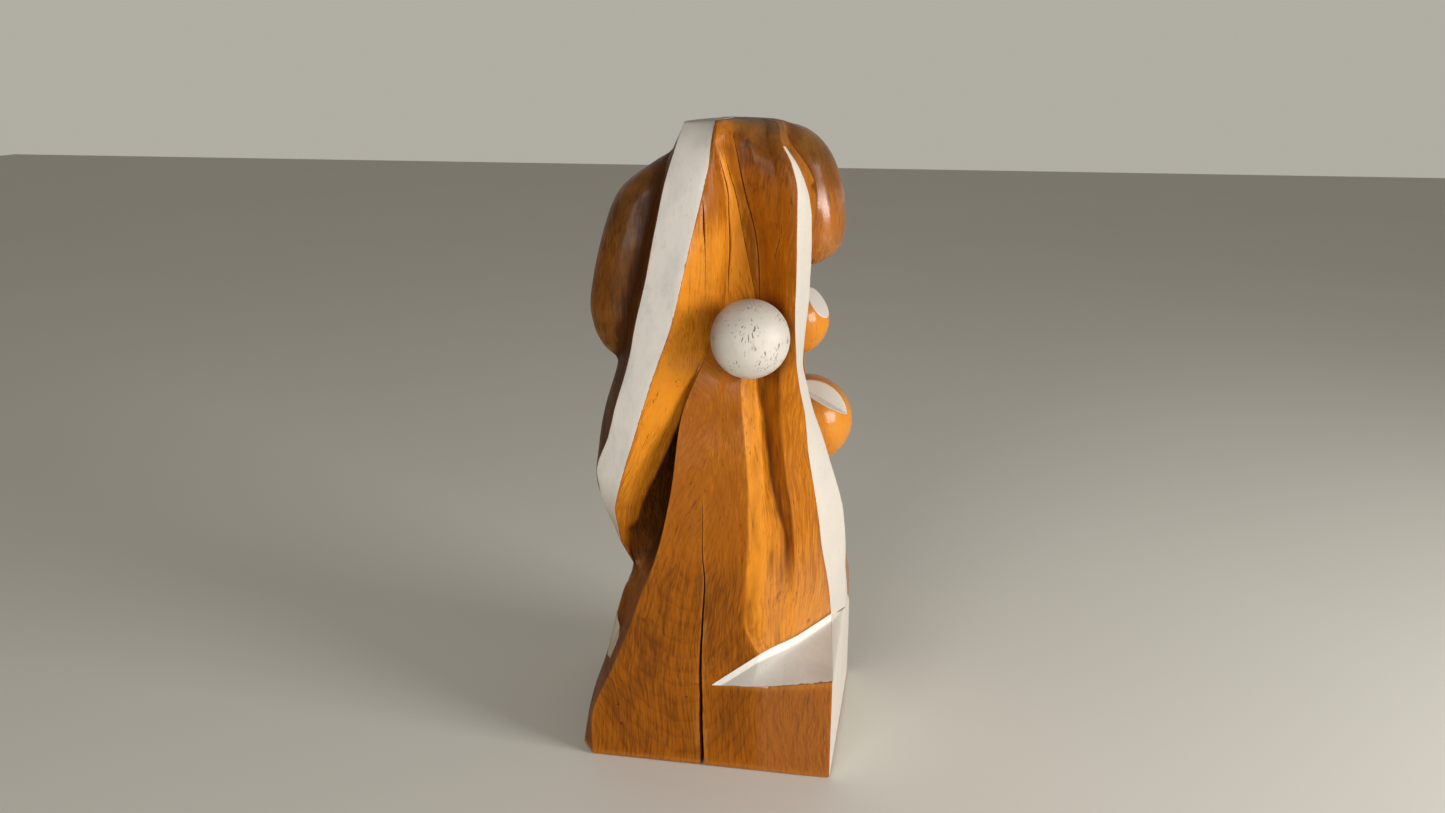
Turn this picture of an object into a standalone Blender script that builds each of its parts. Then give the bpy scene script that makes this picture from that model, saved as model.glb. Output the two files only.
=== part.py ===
"""A free-standing abstract figure carved from one block of wood, with three balls doweled on.

The block is modelled as a closed skin between vertical carved edges ("rails").  Each rail is a
short list of points (height, x, y) in millimetres, joined by a smooth curve, and the skin runs
from rail to rail round the block.  The two swelling lobes are joined to the block as one body,
and the balls sit in round seats, each on its own dowel.

Frame: origin at the centre of the flat base, +Z up, the carved front faces -Y, +X to its right.
"""
import math

import bmesh
import bpy
import numpy as np
from mathutils import Matrix, Vector

MM = 0.001

# ---- driving dimensions (mm) ------------------------------------------------------------------
PLINTH = 17.0              # upright part of the base, below the taper
SHELF_LOW = 44.0           # where the painted corner shelf starts on the front of the base
SHELF_STEP = 2.0           # the same ring on the sides that have no shelf
SHELF_PROFILE = [(0.5, 0.38), (0.92, 0.72), (1.0, 1.0)]    # (share of the way in, of the rise)
GAP = 0.3                  # clearance between pieces

FRONT_BALL_CENTRE = Vector((17.2, -44.0, 209.6))
FRONT_BALL_RADIUS = 17.2
SIDE_BALL_CENTRE = Vector((36.0, 20.0, 155.0))
SIDE_BALL_RADIUS = 22.0
KNOB_CENTRE = Vector((28.5, 15.0, 206.0))
KNOB_RADIUS = 17.5
KNOB_CAP_NORMAL = Vector((0.80, -0.19, 0.57)).normalized()
KNOB_CAP_DISTANCE = 15.2   # flat painted cap, measured from the knob's centre

# The painted notch in the side ball: an upright wall and a narrow sloping floor.
NOTCH_WALL_NORMAL = Vector((0.20, -0.93, 0.30)).normalized()
NOTCH_WALL_DISTANCE = 11.5
NOTCH_FLOOR_NORMAL = Vector((0.48, 0.08, 0.88)).normalized()
NOTCH_FLOOR_DISTANCE = 13.5

DOWEL_RADIUS = 4.0
DOWEL_SIDES = 16
BALL_SEGMENTS = 40
BALL_RINGS = 20

UPPER_RINGS = 36           # rings of the skin between the shelf and the shoulder of the top
CAP_RINGS = 5              # rings that close the top
CAP_CENTRE = (7.0, -2.0, 300.0)

# ---- the carved edges: (height, x, y), from the base up ----------------------------------------
# Going round the block: front left edge, front, right, back, left.
COLUMN_LEFT = [(0, -58, -51), (17, -58, -51), (50, -46, -51), (69, -38.5, -50.6), (82, -34, -50),
               (100, -27, -49), (116, -22.5, -47.5), (141, -18, -44.5), (168, -15, -40),
               (180, -11.5, -38.5), (192, -6.5, -37), (204, -2, -31), (222, 3, -27),
               (250, 4.6, -28), (267, 4.5, -29), (279, 2.3, -30), (290, 0, -31.2), (296, -0.3, -29),
               (299.7, 0, -25.3)]
SHELF_TIP = [(44.3, 1.4, -51), (52, 1.8, -50), (62, 2.5, -48.8), (82, 3, -48.5), (98, 3, -48),
             (114, 3.5, -47), (138, 3.5, -44.5), (155, 3, -42.5), (168, 2.5, -40.3),
             (188, 2, -37.8), (200, 5, -31), (222, 9, -24.6), (250, 7.8, -25.4),
             (268, 6.5, -27), (279, 4, -28.5), (290, 1.4, -29.6), (296, 1.1, -28),
             (299.7, 1.6, -24.6)]
FLUTE_LEFT = [(59.5, 23, -46), (63.7, 20.3, -46.6), (77, 15.8, -47.5), (98, 16.5, -47.5),
              (114, 17.2, -46.5), (138, 17, -44.5), (154, 15.5, -42.5), (175, 13, -39),
              (188, 12, -37), (202, 14, -29), (222, 16, -22.5), (236, 13.6, -22),
              (252, 10.6, -23), (267, 8, -25), (283, 3.8, -27.5), (291, 2.6, -28), (296, 2.6, -26.8),
              (299.7, 3.4, -23.4)]
FLUTE_RIDGE = [(60, 28, -39.5), (75, 23.5, -43), (97, 24, -41.5), (113, 24.3, -41),
               (132, 23.8, -39), (153, 22.2, -36), (172, 20.5, -34), (188, 18.5, -33),
               (202, 18.5, -27), (222, 18, -22), (246, 16.5, -21), (258, 14.3, -22),
               (269, 11.5, -24), (283, 8.8, -26), (290, 7.4, -26), (295, 6.6, -24.8), (298, 6.8, -23),
               (299.7, 7.4, -20.4)]
GROOVE = [(60, 33, -33), (78, 32.6, -33), (95, 33.2, -32.2), (109, 33.4, -31.6),
          (129, 28.6, -31.5), (140, 26.2, -31), (156, 24.3, -30), (172, 22.5, -29.5),
          (183, 21.2, -29), (202, 23, -28), (222, 24, -26), (246, 22.5, -25.5),
          (269, 19.5, -26.8), (283, 16, -27), (290, 14.4, -26), (295, 13.4, -23.6),
          (298, 13, -20.4), (299.6, 12.8, -16.6)]
PANEL_LEFT = [(60, 38, -26), (75, 38, -29.4), (94, 37.5, -31.4), (114, 36.6, -34),
              (127, 35.4, -34), (139, 33.4, -34), (154, 31.5, -34), (171, 29.6, -34.5),
              (190, 29.4, -36), (205, 29, -34), (222, 29.5, -31.5), (246, 28.5, -30.5),
              (269, 27, -29.5), (280, 24.8, -28), (288, 22.4, -25.6), (294, 20.6, -21.4),
              (297.5, 19.6, -16.6), (299.4, 19, -11.6)]
STRIP_LEFT = [(61, 52.4, -2), (83, 50.7, -9), (101, 48.2, -14), (114, 46.8, -17),
              (134, 44.1, -21), (154, 41.5, -25), (174, 39.8, -30), (186, 37.8, -33),
              (199, 36.4, -35.5), (217, 35.4, -36), (232, 35.7, -36), (254, 35.4, -34),
              (270, 35.2, -32), (283, 31.8, -29), (290, 27.6, -27), (294.5, 25.4, -23),
              (297.5, 24.4, -16.4), (299.2, 23.4, -10)]
STRIP_RIGHT = [(57.5, 58, 14), (84, 58, 6), (103, 57.4, 3), (116, 56.4, 0), (124, 55, -2),
               (139, 50.9, -5), (155, 46.5, -8), (168, 42.4, -11), (180, 39.4, -13),
               (193, 36.7, -15), (205, 37.6, -16), (225, 39.4, -16), (249, 40.1, -18),
               (257, 40.1, -20), (267, 39.2, -22), (274, 37.3, -24), (280, 35, -26),
               (290, 28.6, -26.4), (294.5, 26.6, -22.4), (297.5, 25.8, -15.6), (299.2, 25, -9)]
STRIP_BEVEL = [(57, 58, 16), (84, 57.8, 8), (103, 57, 5), (124, 54, 1), (155, 45.5, -5.5),
               (180, 38.6, -10.5), (205, 37, -13.5), (225, 38.6, -13.5), (249, 40.2, -15),
               (262, 42, -16), (274, 41.2, -18), (280, 38.6, -19.5), (285, 34.8, -21.5),
               (291, 30, -22.4), (295, 27.8, -19), (299.2, 26.4, -7)]
RIGHT_HOLLOW = [(56, 58, 32), (75, 56, 30), (104, 45, 26), (130, 33, 23), (155, 27, 21),
                (190, 24, 18), (230, 26, 12), (260, 30, 6), (285, 30, -2), (298, 27, 0)]
BACK_RIGHT = [(0, 58, 51), (56, 58, 50), (80, 54, 48), (104, 48, 47), (150, 37, 45.5),
              (190, 30, 39), (230, 30, 34), (270, 29, 27), (290, 25, 18), (298, 21, 9)]
BACK_RIGHT_VALLEY = [(0, 30, 51), (38, 30, 51), (64, 27, 45), (104, 24, 35), (150, 20, 31),
                     (200, 17, 27), (250, 16, 24), (280, 15, 20), (298, 13, 10)]
BACK_RIDGE = [(0, 0, 51), (38, 0, 51), (64, 1, 50), (104, 2, 48), (150, 4, 46), (200, 5, 42),
              (250, 6, 36), (280, 7, 27), (298, 7, 13)]
BACK_LEFT_VALLEY = [(0, -30, 51), (38, -30, 51), (64, -27, 45), (104, -25, 35), (150, -23, 30),
                    (200, -17, 27), (250, -9, 25), (280, -3, 20), (298, 1, 10)]
BACK_LEFT = [(0, -64, 51), (13, -63.5, 51), (50, -54, 49), (86, -46, 45), (104, -46, 43),
             (131, -53, 41), (155, -53, 39), (190, -45, 37), (230, -36, 33), (270, -24, 27),
             (290, -14, 18), (298, -8, 8)]
WING_SIDE = [(0, -66, 6), (13, -65, 6), (50, -55.5, 2), (86, -46, -4), (98, -46.5, -7),
             (110, -52, -11), (122, -58.3, -14.5), (131, -61.2, -16), (149, -60, -15.5),
             (167, -56.4, -16), (190, -49, -18), (208, -46, -19), (221, -44.8, -19),
             (240, -39.5, -18.5), (265, -32, -17.5), (287, -21.5, -17), (297.5, -15.5, -14)]
BAND_LEFT = [(0, -66, -14), (13, -65, -14), (50, -55, -18), (86, -43, -25), (95, -40.5, -29),
             (102, -42.3, -33), (108.5, -45, -36.5), (114.6, -49, -33), (120, -53, -30),
             (126, -56.6, -27), (137, -58.6, -25), (157.5, -50.7, -31), (173.5, -46, -34),
             (195, -39, -36), (214, -35, -36), (232, -30.5, -35), (254, -26.5, -33),
             (273, -22.8, -30), (289, -18.4, -26), (298.8, -15.4, -22)]
BAND_RIGHT = [(0, -66, -28), (13, -65, -28), (50, -53, -31), (86, -42, -36), (93.5, -37, -38.4),
              (102, -41, -38.3), (108, -44, -38), (116, -45.4, -38.2), (124, -46.4, -38.6),
              (131, -45, -40), (153, -38, -44), (178, -29.7, -47), (199, -22.3, -48.5),
              (213, -17, -49), (231, -12.5, -48), (255, -7.6, -43), (271, -4.2, -39),
              (284, -2, -35.5), (291, -1.8, -32.6), (296, -1.4, -29.4), (299.7, -1, -25.6)]
WING_EDGE = [(0, -65.6, -36), (13, -64, -36), (50, -51.8, -37.5), (86, -41.2, -39),
             (93.5, -36.6, -38.8), (104, -39.5, -37.2), (113, -40, -36.3), (119, -37.3, -35.3),
             (127, -34.5, -34), (135, -31, -33), (142, -27.6, -32), (150, -23.7, -31.5),
             (160, -19.6, -32), (167, -16.9, -33), (180, -12.9, -34.6), (192, -7.7, -36),
             (204, -3, -31), (222, 2.4, -27.2), (250, 4, -28.3), (267, 3.9, -29.3),
             (279, 1.8, -30.5), (290, -0.4, -31.6), (296, -0.8, -29.2), (299.7, -0.6, -25.5)]
RECESS = [(0, -65, -42), (13, -63, -40.5), (30, -58, -40), (50, -50.8, -40), (67, -44.6, -40),
          (86, -40.2, -40), (94, -35.8, -40), (104, -30, -33), (120, -25, -24),
          (140, -20.5, -20), (155, -17.6, -23), (165, -16, -29), (180, -12.2, -35.6),
          (192, -7.1, -36), (204, -2.5, -30.6), (222, 2.7, -26.9), (250, 4.3, -27.9),
          (267, 4.2, -29), (279, 2, -30), (290, -0.2, -31.3), (296, -0.6, -29),
          (299.7, -0.3, -25.4)]

# A rail that meets the corner shelf has its own short piece below it: the shelf's outer edge.
BELOW_SHELF = {
    "shelf_tip": [(0, 1.4, -51), (44, 1.4, -51)],
    "flute_left": [(0, 20, -51), (45, 20, -51)],
    "flute_ridge": [(0, 27, -51), (45.7, 27, -51)],
    "groove": [(0, 34, -51), (46.8, 34, -51)],
    "panel_left": [(0, 43, -51), (48.5, 43, -51)],
    "strip_left": [(0, 57.4, -50.6), (51, 57.6, -50.6)],
    "strip_right": [(0, 58, 14), (53.5, 58, 14)],
    "strip_bevel": [(0, 58, 16), (54, 58, 16)],
    "right_hollow": [(0, 58, 32), (54, 58, 32)],
}

# (name, points, columns to the next rail, outward swell to the next rail in mm)
RAILS = [
    ("column_left", COLUMN_LEFT, 5, 0.0),
    ("shelf_tip", SHELF_TIP, 2, 0.0),
    ("flute_left", FLUTE_LEFT, 1, -0.3),
    ("flute_ridge", FLUTE_RIDGE, 1, -0.4),
    ("groove", GROOVE, 1, 0.0),
    ("panel_left", PANEL_LEFT, 2, 0.6),
    ("strip_left", STRIP_LEFT, 2, 0.4),
    ("strip_right", STRIP_RIGHT, 1, 0.0),
    ("strip_bevel", STRIP_BEVEL, 2, 0.0),
    ("right_hollow", RIGHT_HOLLOW, 2, 0.0),
    ("back_right", BACK_RIGHT, 3, -1.5),
    ("back_right_valley", BACK_RIGHT_VALLEY, 3, 0.5),
    ("back_ridge", BACK_RIDGE, 3, 0.5),
    ("back_left_valley", BACK_LEFT_VALLEY, 3, -1.5),
    ("back_left", BACK_LEFT, 4, 2.5),
    ("wing_side", WING_SIDE, 2, 0.5),
    ("band_left", BAND_LEFT, 2, 0.3),
    ("band_right", BAND_RIGHT, 3, 1.0),
    ("wing_edge", WING_EDGE, 2, 0.0),
    ("recess", RECESS, 2, 0.0),
]

# The drying check in the front of the base: (height, x, width, depth).
CHECK = [(0, -3.5, 1.4, 14), (37, -4, 1.3, 13), (63, -4.2, 1.0, 11), (82, -3.6, 0.8, 9),
         (96, -2.2, 0.7, 7), (120, -3.6, 0.5, 4), (136, -3.6, 0.3, 1)]

# The swelling lobes: (height, left x, right x, front y, back y).
LEFT_LOBE = [(191, -51, -36, -19, 10), (197, -58, -32, -23, 18), (205, -62, -30, -25.5, 23),
             (216, -63.6, -28, -27, 26), (230, -61.8, -26, -27, 27.5), (245, -58, -22, -26.5, 27.5),
             (260, -53, -18, -25, 26), (268, -49, -14, -24, 23.5), (275, -41.5, -12, -22, 20),
             (281, -32, -10, -20, 14), (286, -23, -8, -17, 6)]
CROWN_LOBE = [(236, 22, 42, -10, 18), (239.5, 18, 48.2, -13, 24), (245, 14, 51.8, -15.5, 28),
              (253, 10, 53, -17, 31), (262, 8, 52.4, -18, 32), (272, 4, 50.3, -18.5, 30.5),
              (280, 0, 47.8, -18.5, 27), (287, -3, 43.9, -18, 22), (293, -4, 38.4, -16, 16),
              (297, -3, 32, -13, 11), (299.6, 0, 24, -9, 5)]
LOBE_SIDES = 28
LOBE_RINGS = 14
LOBE_SQUARENESS = 2.6      # 2 is an ellipse, more is squarer
SWELL_RISE = 40.0          # height over which the swell of the faces builds up, above the base


def smooth_curve(points, heights):
    """Values of a curve through points (height first), without overshoot between them."""
    table = np.array(points, float)
    z, values = table[:, 0], table[:, 1:]
    step = np.diff(z)
    slope = np.diff(values, axis=0) / step[:, None]
    tangent = np.zeros_like(values)
    tangent[0], tangent[-1] = slope[0], slope[-1]
    for i in range(1, len(z) - 1):
        before, after = slope[i - 1], slope[i]
        same = before * after > 0
        w1, w2 = 2 * step[i] + step[i - 1], step[i] + 2 * step[i - 1]
        safe_before = np.where(same, before, 1.0)
        safe_after = np.where(same, after, 1.0)
        mean = (w1 + w2) / (w1 / safe_before + w2 / safe_after)
        tangent[i] = np.where(same, mean, 0.0)
    heights = np.clip(np.atleast_1d(heights), z[0], z[-1])
    k = np.clip(np.searchsorted(z, heights, side="right") - 1, 0, len(step) - 1)
    h = step[k][:, None]
    t = ((heights - z[k]) / step[k])[:, None]
    return ((1 + 2 * t) * (1 - t) ** 2 * values[k] + t * (1 - t) ** 2 * h * tangent[k]
            + t * t * (3 - 2 * t) * values[k + 1] + t * t * (t - 1) * h * tangent[k + 1])


def rail_points(name, points):
    """One rail's points, ring by ring: base, shelf, upper part."""
    rows = []
    upper_from = points[0][0] if name in BELOW_SHELF else SHELF_LOW + SHELF_STEP
    lower = BELOW_SHELF.get(name, points)
    lower_to = lower[-1][0] if name in BELOW_SHELF else SHELF_LOW
    lower_heights = [0.0, PLINTH, 0.5 * (PLINTH + lower_to), lower_to]
    for z, (x, y) in zip(lower_heights, smooth_curve(lower, lower_heights)):
        rows.append((x, y, z))
    outer = np.array(rows[-1])
    inner_xy = smooth_curve(points, [upper_from])[0]
    inner = np.array([inner_xy[0], inner_xy[1], upper_from])
    for inwards, up in SHELF_PROFILE:
        at = outer + (inner - outer) * inwards
        at[2] = outer[2] + (inner[2] - outer[2]) * up
        rows.append(tuple(at))
    heights = np.linspace(upper_from, points[-1][0], UPPER_RINGS + 1)[1:]
    for z, (x, y) in zip(heights, smooth_curve(points, heights)):
        rows.append((x, y, z))
    return np.array(rows)


def check_columns(left, right):
    """Three columns across a front patch: the check's left lip, its bottom and its right lip."""
    height, x, width, depth = np.array(CHECK, float).T
    z = 0.5 * (left[:, 2] + right[:, 2])
    centre = np.interp(z, height, x)
    half = 0.5 * np.interp(z, height, width)
    deep = np.interp(z, height, depth)
    closed = z > height[-1]
    span = right[:, 0] - left[:, 0]
    share = (centre - left[:, 0]) / span
    share = np.where(closed, np.interp(height[-1], z, share), share)
    half = np.where(closed, 0.15, half)
    deep = np.where(closed, 0.0, deep)
    columns = []
    for side, sink in ((-1, 0), (0, 1), (1, 0)):
        u = (share + side * half / span)[:, None]
        column = left + (right - left) * u
        column[:, 1] += sink * deep
        columns.append(column)
    return columns


def patch_columns(left, right, count, swell):
    """The rail itself and the columns between it and the next one."""
    columns = [left]
    chord = right - left
    swell = swell * np.clip((left[:, 2] - SHELF_LOW) / SWELL_RISE, 0, 1)
    outward = np.stack([chord[:, 1], -chord[:, 0]], axis=1)
    outward /= np.maximum(np.linalg.norm(outward, axis=1), 1e-9)[:, None]
    for i in range(1, count):
        u = i / count
        column = left + chord * u
        column[:, :2] += outward * (swell * 4 * u * (1 - u))[:, None]
        columns.append(column)
    return columns


def skin_grid():
    """All columns round the block, as an array [column, ring, xyz]."""
    rails = [rail_points(name, points) for name, points, _, _ in RAILS]
    columns = []
    for i, (name, _, count, swell) in enumerate(RAILS):
        left, right = rails[i], rails[(i + 1) % len(rails)]
        if name == "column_left":
            lip_left, bottom, lip_right = check_columns(left, right)
            columns += patch_columns(left, lip_left, 2, swell) + [lip_left, bottom]
            columns += patch_columns(lip_right, right, 2, swell)
        else:
            columns += patch_columns(left, right, count, swell)
    return np.array(columns)


def cap_rings(shoulder):
    """Rings that round the top over, from the shoulder ring towards the middle."""
    centre = np.array(CAP_CENTRE)
    rings = []
    for k in range(1, CAP_RINGS + 1):
        u = k / (CAP_RINGS + 1)
        ring = shoulder + (centre - shoulder) * u
        ring[:, 2] = shoulder[:, 2] + (centre[2] - shoulder[:, 2]) * (1 - (1 - u) ** 3)
        rings.append(ring)
    return rings


def material(name, colour, roughness):
    made = bpy.data.materials.new(name)
    made.use_nodes = True
    shader = made.node_tree.nodes["Principled BSDF"]
    shader.inputs["Base Color"].default_value = (*colour, 1.0)
    shader.inputs["Roughness"].default_value = roughness
    shader.inputs["Metallic"].default_value = 0.0
    return made


def new_object(name, mesh, look):
    thing = bpy.data.objects.new(name, mesh)
    bpy.context.collection.objects.link(thing)
    if look is not None:
        mesh.materials.append(look)
    return thing


def mesh_from_rings(name, rings, bottom_centre=None, top_centre=None):
    """A closed mesh through rings of equal length, each end a flat face or a fan to a point."""
    shape = bmesh.new()
    rows = [[shape.verts.new(Vector(p) * MM) for p in ring] for ring in rings]
    count = len(rows[0])
    for low, high in zip(rows, rows[1:]):
        for i in range(count):
            j = (i + 1) % count
            shape.faces.new((low[i], low[j], high[j], high[i]))
    for row, centre, up in ((rows[0], bottom_centre, False), (rows[-1], top_centre, True)):
        ordered = row if up else row[::-1]
        if centre is None:
            shape.faces.new(ordered)
        else:
            point = shape.verts.new(Vector(centre) * MM)
            for i in range(count):
                shape.faces.new((ordered[i], ordered[(i + 1) % count], point))
    bmesh.ops.recalc_face_normals(shape, faces=shape.faces)
    mesh = bpy.data.meshes.new(name)
    shape.to_mesh(mesh)
    shape.free()
    return mesh


def block_mesh():
    grid = skin_grid()
    rings = [grid[:, k] for k in range(grid.shape[1])]
    rings += cap_rings(rings[-1])
    return mesh_from_rings("block", rings, top_centre=CAP_CENTRE)


def lobe_mesh(name, profile):
    """A rounded form through level, squarish oval sections."""
    heights = np.linspace(profile[0][0], profile[-1][0], LOBE_RINGS)
    rings = []
    for z, (x0, x1, y0, y1) in zip(heights, smooth_curve(profile, heights)):
        ring = []
        for k in range(LOBE_SIDES):
            angle = 2 * math.pi * k / LOBE_SIDES
            c, s = math.cos(angle), math.sin(angle)
            across = math.copysign(abs(c) ** (2 / LOBE_SQUARENESS), c)
            along = math.copysign(abs(s) ** (2 / LOBE_SQUARENESS), s)
            ring.append((0.5 * (x0 + x1) + 0.5 * (x1 - x0) * across,
                         0.5 * (y0 + y1) + 0.5 * (y1 - y0) * along, z))
        rings.append(ring)
    ends = []
    for ring, lift in ((rings[0], -0.8), (rings[-1], 0.4)):
        middle = np.mean(ring, axis=0)
        ends.append((middle[0], middle[1], middle[2] + lift))
    return mesh_from_rings(name, rings, bottom_centre=ends[0], top_centre=ends[1])


def ball_mesh(name, centre, radius):
    shape = bmesh.new()
    bmesh.ops.create_uvsphere(shape, u_segments=BALL_SEGMENTS, v_segments=BALL_RINGS,
                              radius=radius * MM)
    bmesh.ops.translate(shape, verts=shape.verts, vec=centre * MM)
    mesh = bpy.data.meshes.new(name)
    shape.to_mesh(mesh)
    shape.free()
    return mesh


def peg_mesh(name, start, end, radius, sides=DOWEL_SIDES, chamfer=0.0):
    """A straight round peg from start to end, with chamfered ends if asked."""
    axis = (end - start).normalized()
    turn = axis.to_track_quat("Z", "Y").to_matrix()
    length = (end - start).length
    stations = [(0, radius - chamfer), (chamfer, radius), (length - chamfer, radius),
                (length, radius - chamfer)]
    if chamfer == 0:
        stations = [stations[0], stations[-1]]
    rings = []
    for z, r in stations:
        ring = []
        for k in range(sides):
            angle = 2 * math.pi * k / sides
            ring.append(start + turn @ Vector((r * math.cos(angle), r * math.sin(angle), z)))
        rings.append(ring)
    return mesh_from_rings(name, rings)


def slab_mesh(name, origin, normal, size=60.0):
    """A block whose one face lies on a plane and which fills the side the normal points to."""
    shape = bmesh.new()
    bmesh.ops.create_cube(shape, size=size * MM)
    turn = normal.to_track_quat("Z", "Y").to_matrix().to_4x4()
    place = Matrix.Translation((origin + normal * (size / 2)) * MM) @ turn
    bmesh.ops.transform(shape, matrix=place, verts=shape.verts)
    mesh = bpy.data.meshes.new(name)
    shape.to_mesh(mesh)
    shape.free()
    return mesh


def combine(target, name, mesh, operation):
    """Join or cut target with a helper solid, which stays as a hidden wire guide."""
    helper = new_object(name, mesh, None)
    helper.hide_render = True
    helper.display_type = "WIRE"
    step = target.modifiers.new(name, "BOOLEAN")
    step.operation = operation
    step.solver = "EXACT"
    step.object = helper
    return helper


def shade(thing, angle=32.0):
    thing.data.shade_smooth()
    thing.data.set_sharp_from_angle(angle=math.radians(angle))


def dowel_ends(centre, direction, in_ball, in_block):
    return centre - direction * in_ball, centre + direction * in_block


def build_ball(name, centre, radius, dowel_axis, in_block, look, dowel_look, trunk):
    """A ball in its round seat, with the dowel that holds it and the holes for both."""
    ball = new_object(name, ball_mesh(name, centre, radius), look)
    start, end = dowel_ends(centre, dowel_axis, 3.0, in_block)
    dowel = new_object(name + "_dowel", peg_mesh(name + "_dowel", start, end, DOWEL_RADIUS,
                                                 chamfer=0.8), dowel_look)
    hole = peg_mesh(name + "_hole", start - dowel_axis * GAP, end + dowel_axis * GAP,
                    DOWEL_RADIUS + GAP)
    combine(ball, name + "_hole", hole, "DIFFERENCE")
    combine(trunk, name + "_seat", ball_mesh(name + "_seat", centre, radius + GAP), "DIFFERENCE")
    combine(trunk, name + "_socket", hole.copy(), "DIFFERENCE")
    shade(ball)
    shade(dowel)
    return ball


def build():
    for thing in list(bpy.data.objects):
        bpy.data.objects.remove(thing, do_unlink=True)
    wood = material("varnished_wood", (0.50, 0.21, 0.035), 0.32)
    paint = material("white_paint", (0.78, 0.74, 0.68), 0.62)
    bare = material("bare_wood", (0.62, 0.47, 0.30), 0.75)

    trunk = new_object("trunk", block_mesh(), wood)
    combine(trunk, "left_lobe_form", lobe_mesh("left_lobe_form", LEFT_LOBE), "UNION")
    combine(trunk, "crown_lobe_form", lobe_mesh("crown_lobe_form", CROWN_LOBE), "UNION")

    build_ball("front_ball", FRONT_BALL_CENTRE, FRONT_BALL_RADIUS, Vector((0, 1, 0)), 34.0,
               paint, bare, trunk)
    knob = build_ball("side_knob", KNOB_CENTRE, KNOB_RADIUS, Vector((-1, 0, 0)), 32.0,
                      wood, bare, trunk)
    cap = slab_mesh("knob_cap_cut", KNOB_CENTRE + KNOB_CAP_NORMAL * KNOB_CAP_DISTANCE,
                    KNOB_CAP_NORMAL)
    combine(knob, "knob_cap_cut", cap, "DIFFERENCE")

    side_ball = build_ball("side_ball", SIDE_BALL_CENTRE, SIDE_BALL_RADIUS, Vector((-1, 0, 0)),
                           38.0, wood, bare, trunk)
    wall = slab_mesh("notch_wall_cut",
                     SIDE_BALL_CENTRE + NOTCH_WALL_NORMAL * NOTCH_WALL_DISTANCE,
                     NOTCH_WALL_NORMAL)
    floor = slab_mesh("notch_floor_cut",
                      SIDE_BALL_CENTRE + NOTCH_FLOOR_NORMAL * NOTCH_FLOOR_DISTANCE,
                      NOTCH_FLOOR_NORMAL)
    notch = combine(side_ball, "notch_wall_cut", wall, "DIFFERENCE")
    combine(notch, "notch_floor_cut", floor, "INTERSECT")
    shade(trunk)


build()
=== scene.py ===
"""Looks of the carved wooden figure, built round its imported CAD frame.

The block's skin is lofted again between the same carved edges as the CAD, far more finely, joined
with its two swelling lobes, and then given tool marks, splits and chisel cuts.  Paint is laid on
it as thin closed shells.  Lengths are in millimetres until a mesh is made.
"""

import math
from collections import namedtuple

import bpy
import numpy as np
from mathutils import Matrix, Vector, noise
from mathutils.bvhtree import BVHTree
from mathutils.kdtree import KDTree


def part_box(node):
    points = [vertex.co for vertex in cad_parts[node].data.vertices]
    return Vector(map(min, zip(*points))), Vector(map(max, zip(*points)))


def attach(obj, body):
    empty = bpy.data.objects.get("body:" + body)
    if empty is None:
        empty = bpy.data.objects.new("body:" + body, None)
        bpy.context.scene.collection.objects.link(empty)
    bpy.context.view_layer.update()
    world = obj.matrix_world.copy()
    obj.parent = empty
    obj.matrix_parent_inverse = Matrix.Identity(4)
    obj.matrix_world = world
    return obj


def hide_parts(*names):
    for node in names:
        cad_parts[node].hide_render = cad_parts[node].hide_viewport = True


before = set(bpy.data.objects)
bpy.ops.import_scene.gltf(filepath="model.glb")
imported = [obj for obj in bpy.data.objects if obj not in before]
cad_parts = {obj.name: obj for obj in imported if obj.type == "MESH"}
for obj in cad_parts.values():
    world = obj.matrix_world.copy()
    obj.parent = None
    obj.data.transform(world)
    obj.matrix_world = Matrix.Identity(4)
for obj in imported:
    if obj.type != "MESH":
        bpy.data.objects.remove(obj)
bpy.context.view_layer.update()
trunk_low, trunk_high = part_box("trunk")

HEIGHT = 300.0
MM = (trunk_high.z - trunk_low.z) / HEIGHT

# ---- shape (mm) --------------------------------------------------------------------------------
SHELF_LOW = 44.0
SHELF_STEP = 2.0
SHELF_SLOPE = 0.72         # share of the shelf's rise that is its even slope; the rest is the cove
COVE_WIDTH = 4.0           # the hollow along the shelf's inner edge
CAP_CENTRE = (7.0, -2.0, 300.0)
SWELL_RISE = 40.0
BOTTOM_BEVEL = 0.8

BASE_RINGS = 34
SHELF_RINGS = 14
UPPER_RINGS = 190
CAP_RINGS = 10
FRONT_STEP = 1.5           # spacing of the skin's columns on the carved faces
BACK_STEP = 2.4
EDGE_STEP = 0.45           # the columns beside a carved edge

# The balls that sit in the block.  to_dowel points at the dowel, whose hole ends at hole_end from
# the centre; uneven is how far the turning wavers.
Ball = namedtuple("Ball", "centre radius to_dowel hole_end uneven")
FRONT_BALL = Ball(Vector((17.2, -44.0, 209.6)), 17.2, Vector((0, 1, 0)), 34.6, 0.16)
KNOB = Ball(Vector((28.5, 15.0, 206.0)), 17.5, Vector((-1, 0, 0)), 32.6, 0.18)
SIDE_BALL = Ball(Vector((36.0, 20.0, 155.0)), 22.0, Vector((-1, 0, 0)), 38.6, 0.2)
# Flat cuts in the knob and the side ball: (way the flat faces, distance from the ball's centre).
KNOB_CAP = (Vector((0.80, -0.19, 0.57)).normalized(), 15.2)
NOTCH_WALL = (Vector((0.20, -0.93, 0.30)).normalized(), 11.5)
NOTCH_FLOOR = (Vector((0.48, 0.08, 0.88)).normalized(), 13.5)
DOWEL_RADIUS = 4.0
SEAT_GAP = 0.2             # between a ball or dowel and its hollow

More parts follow.
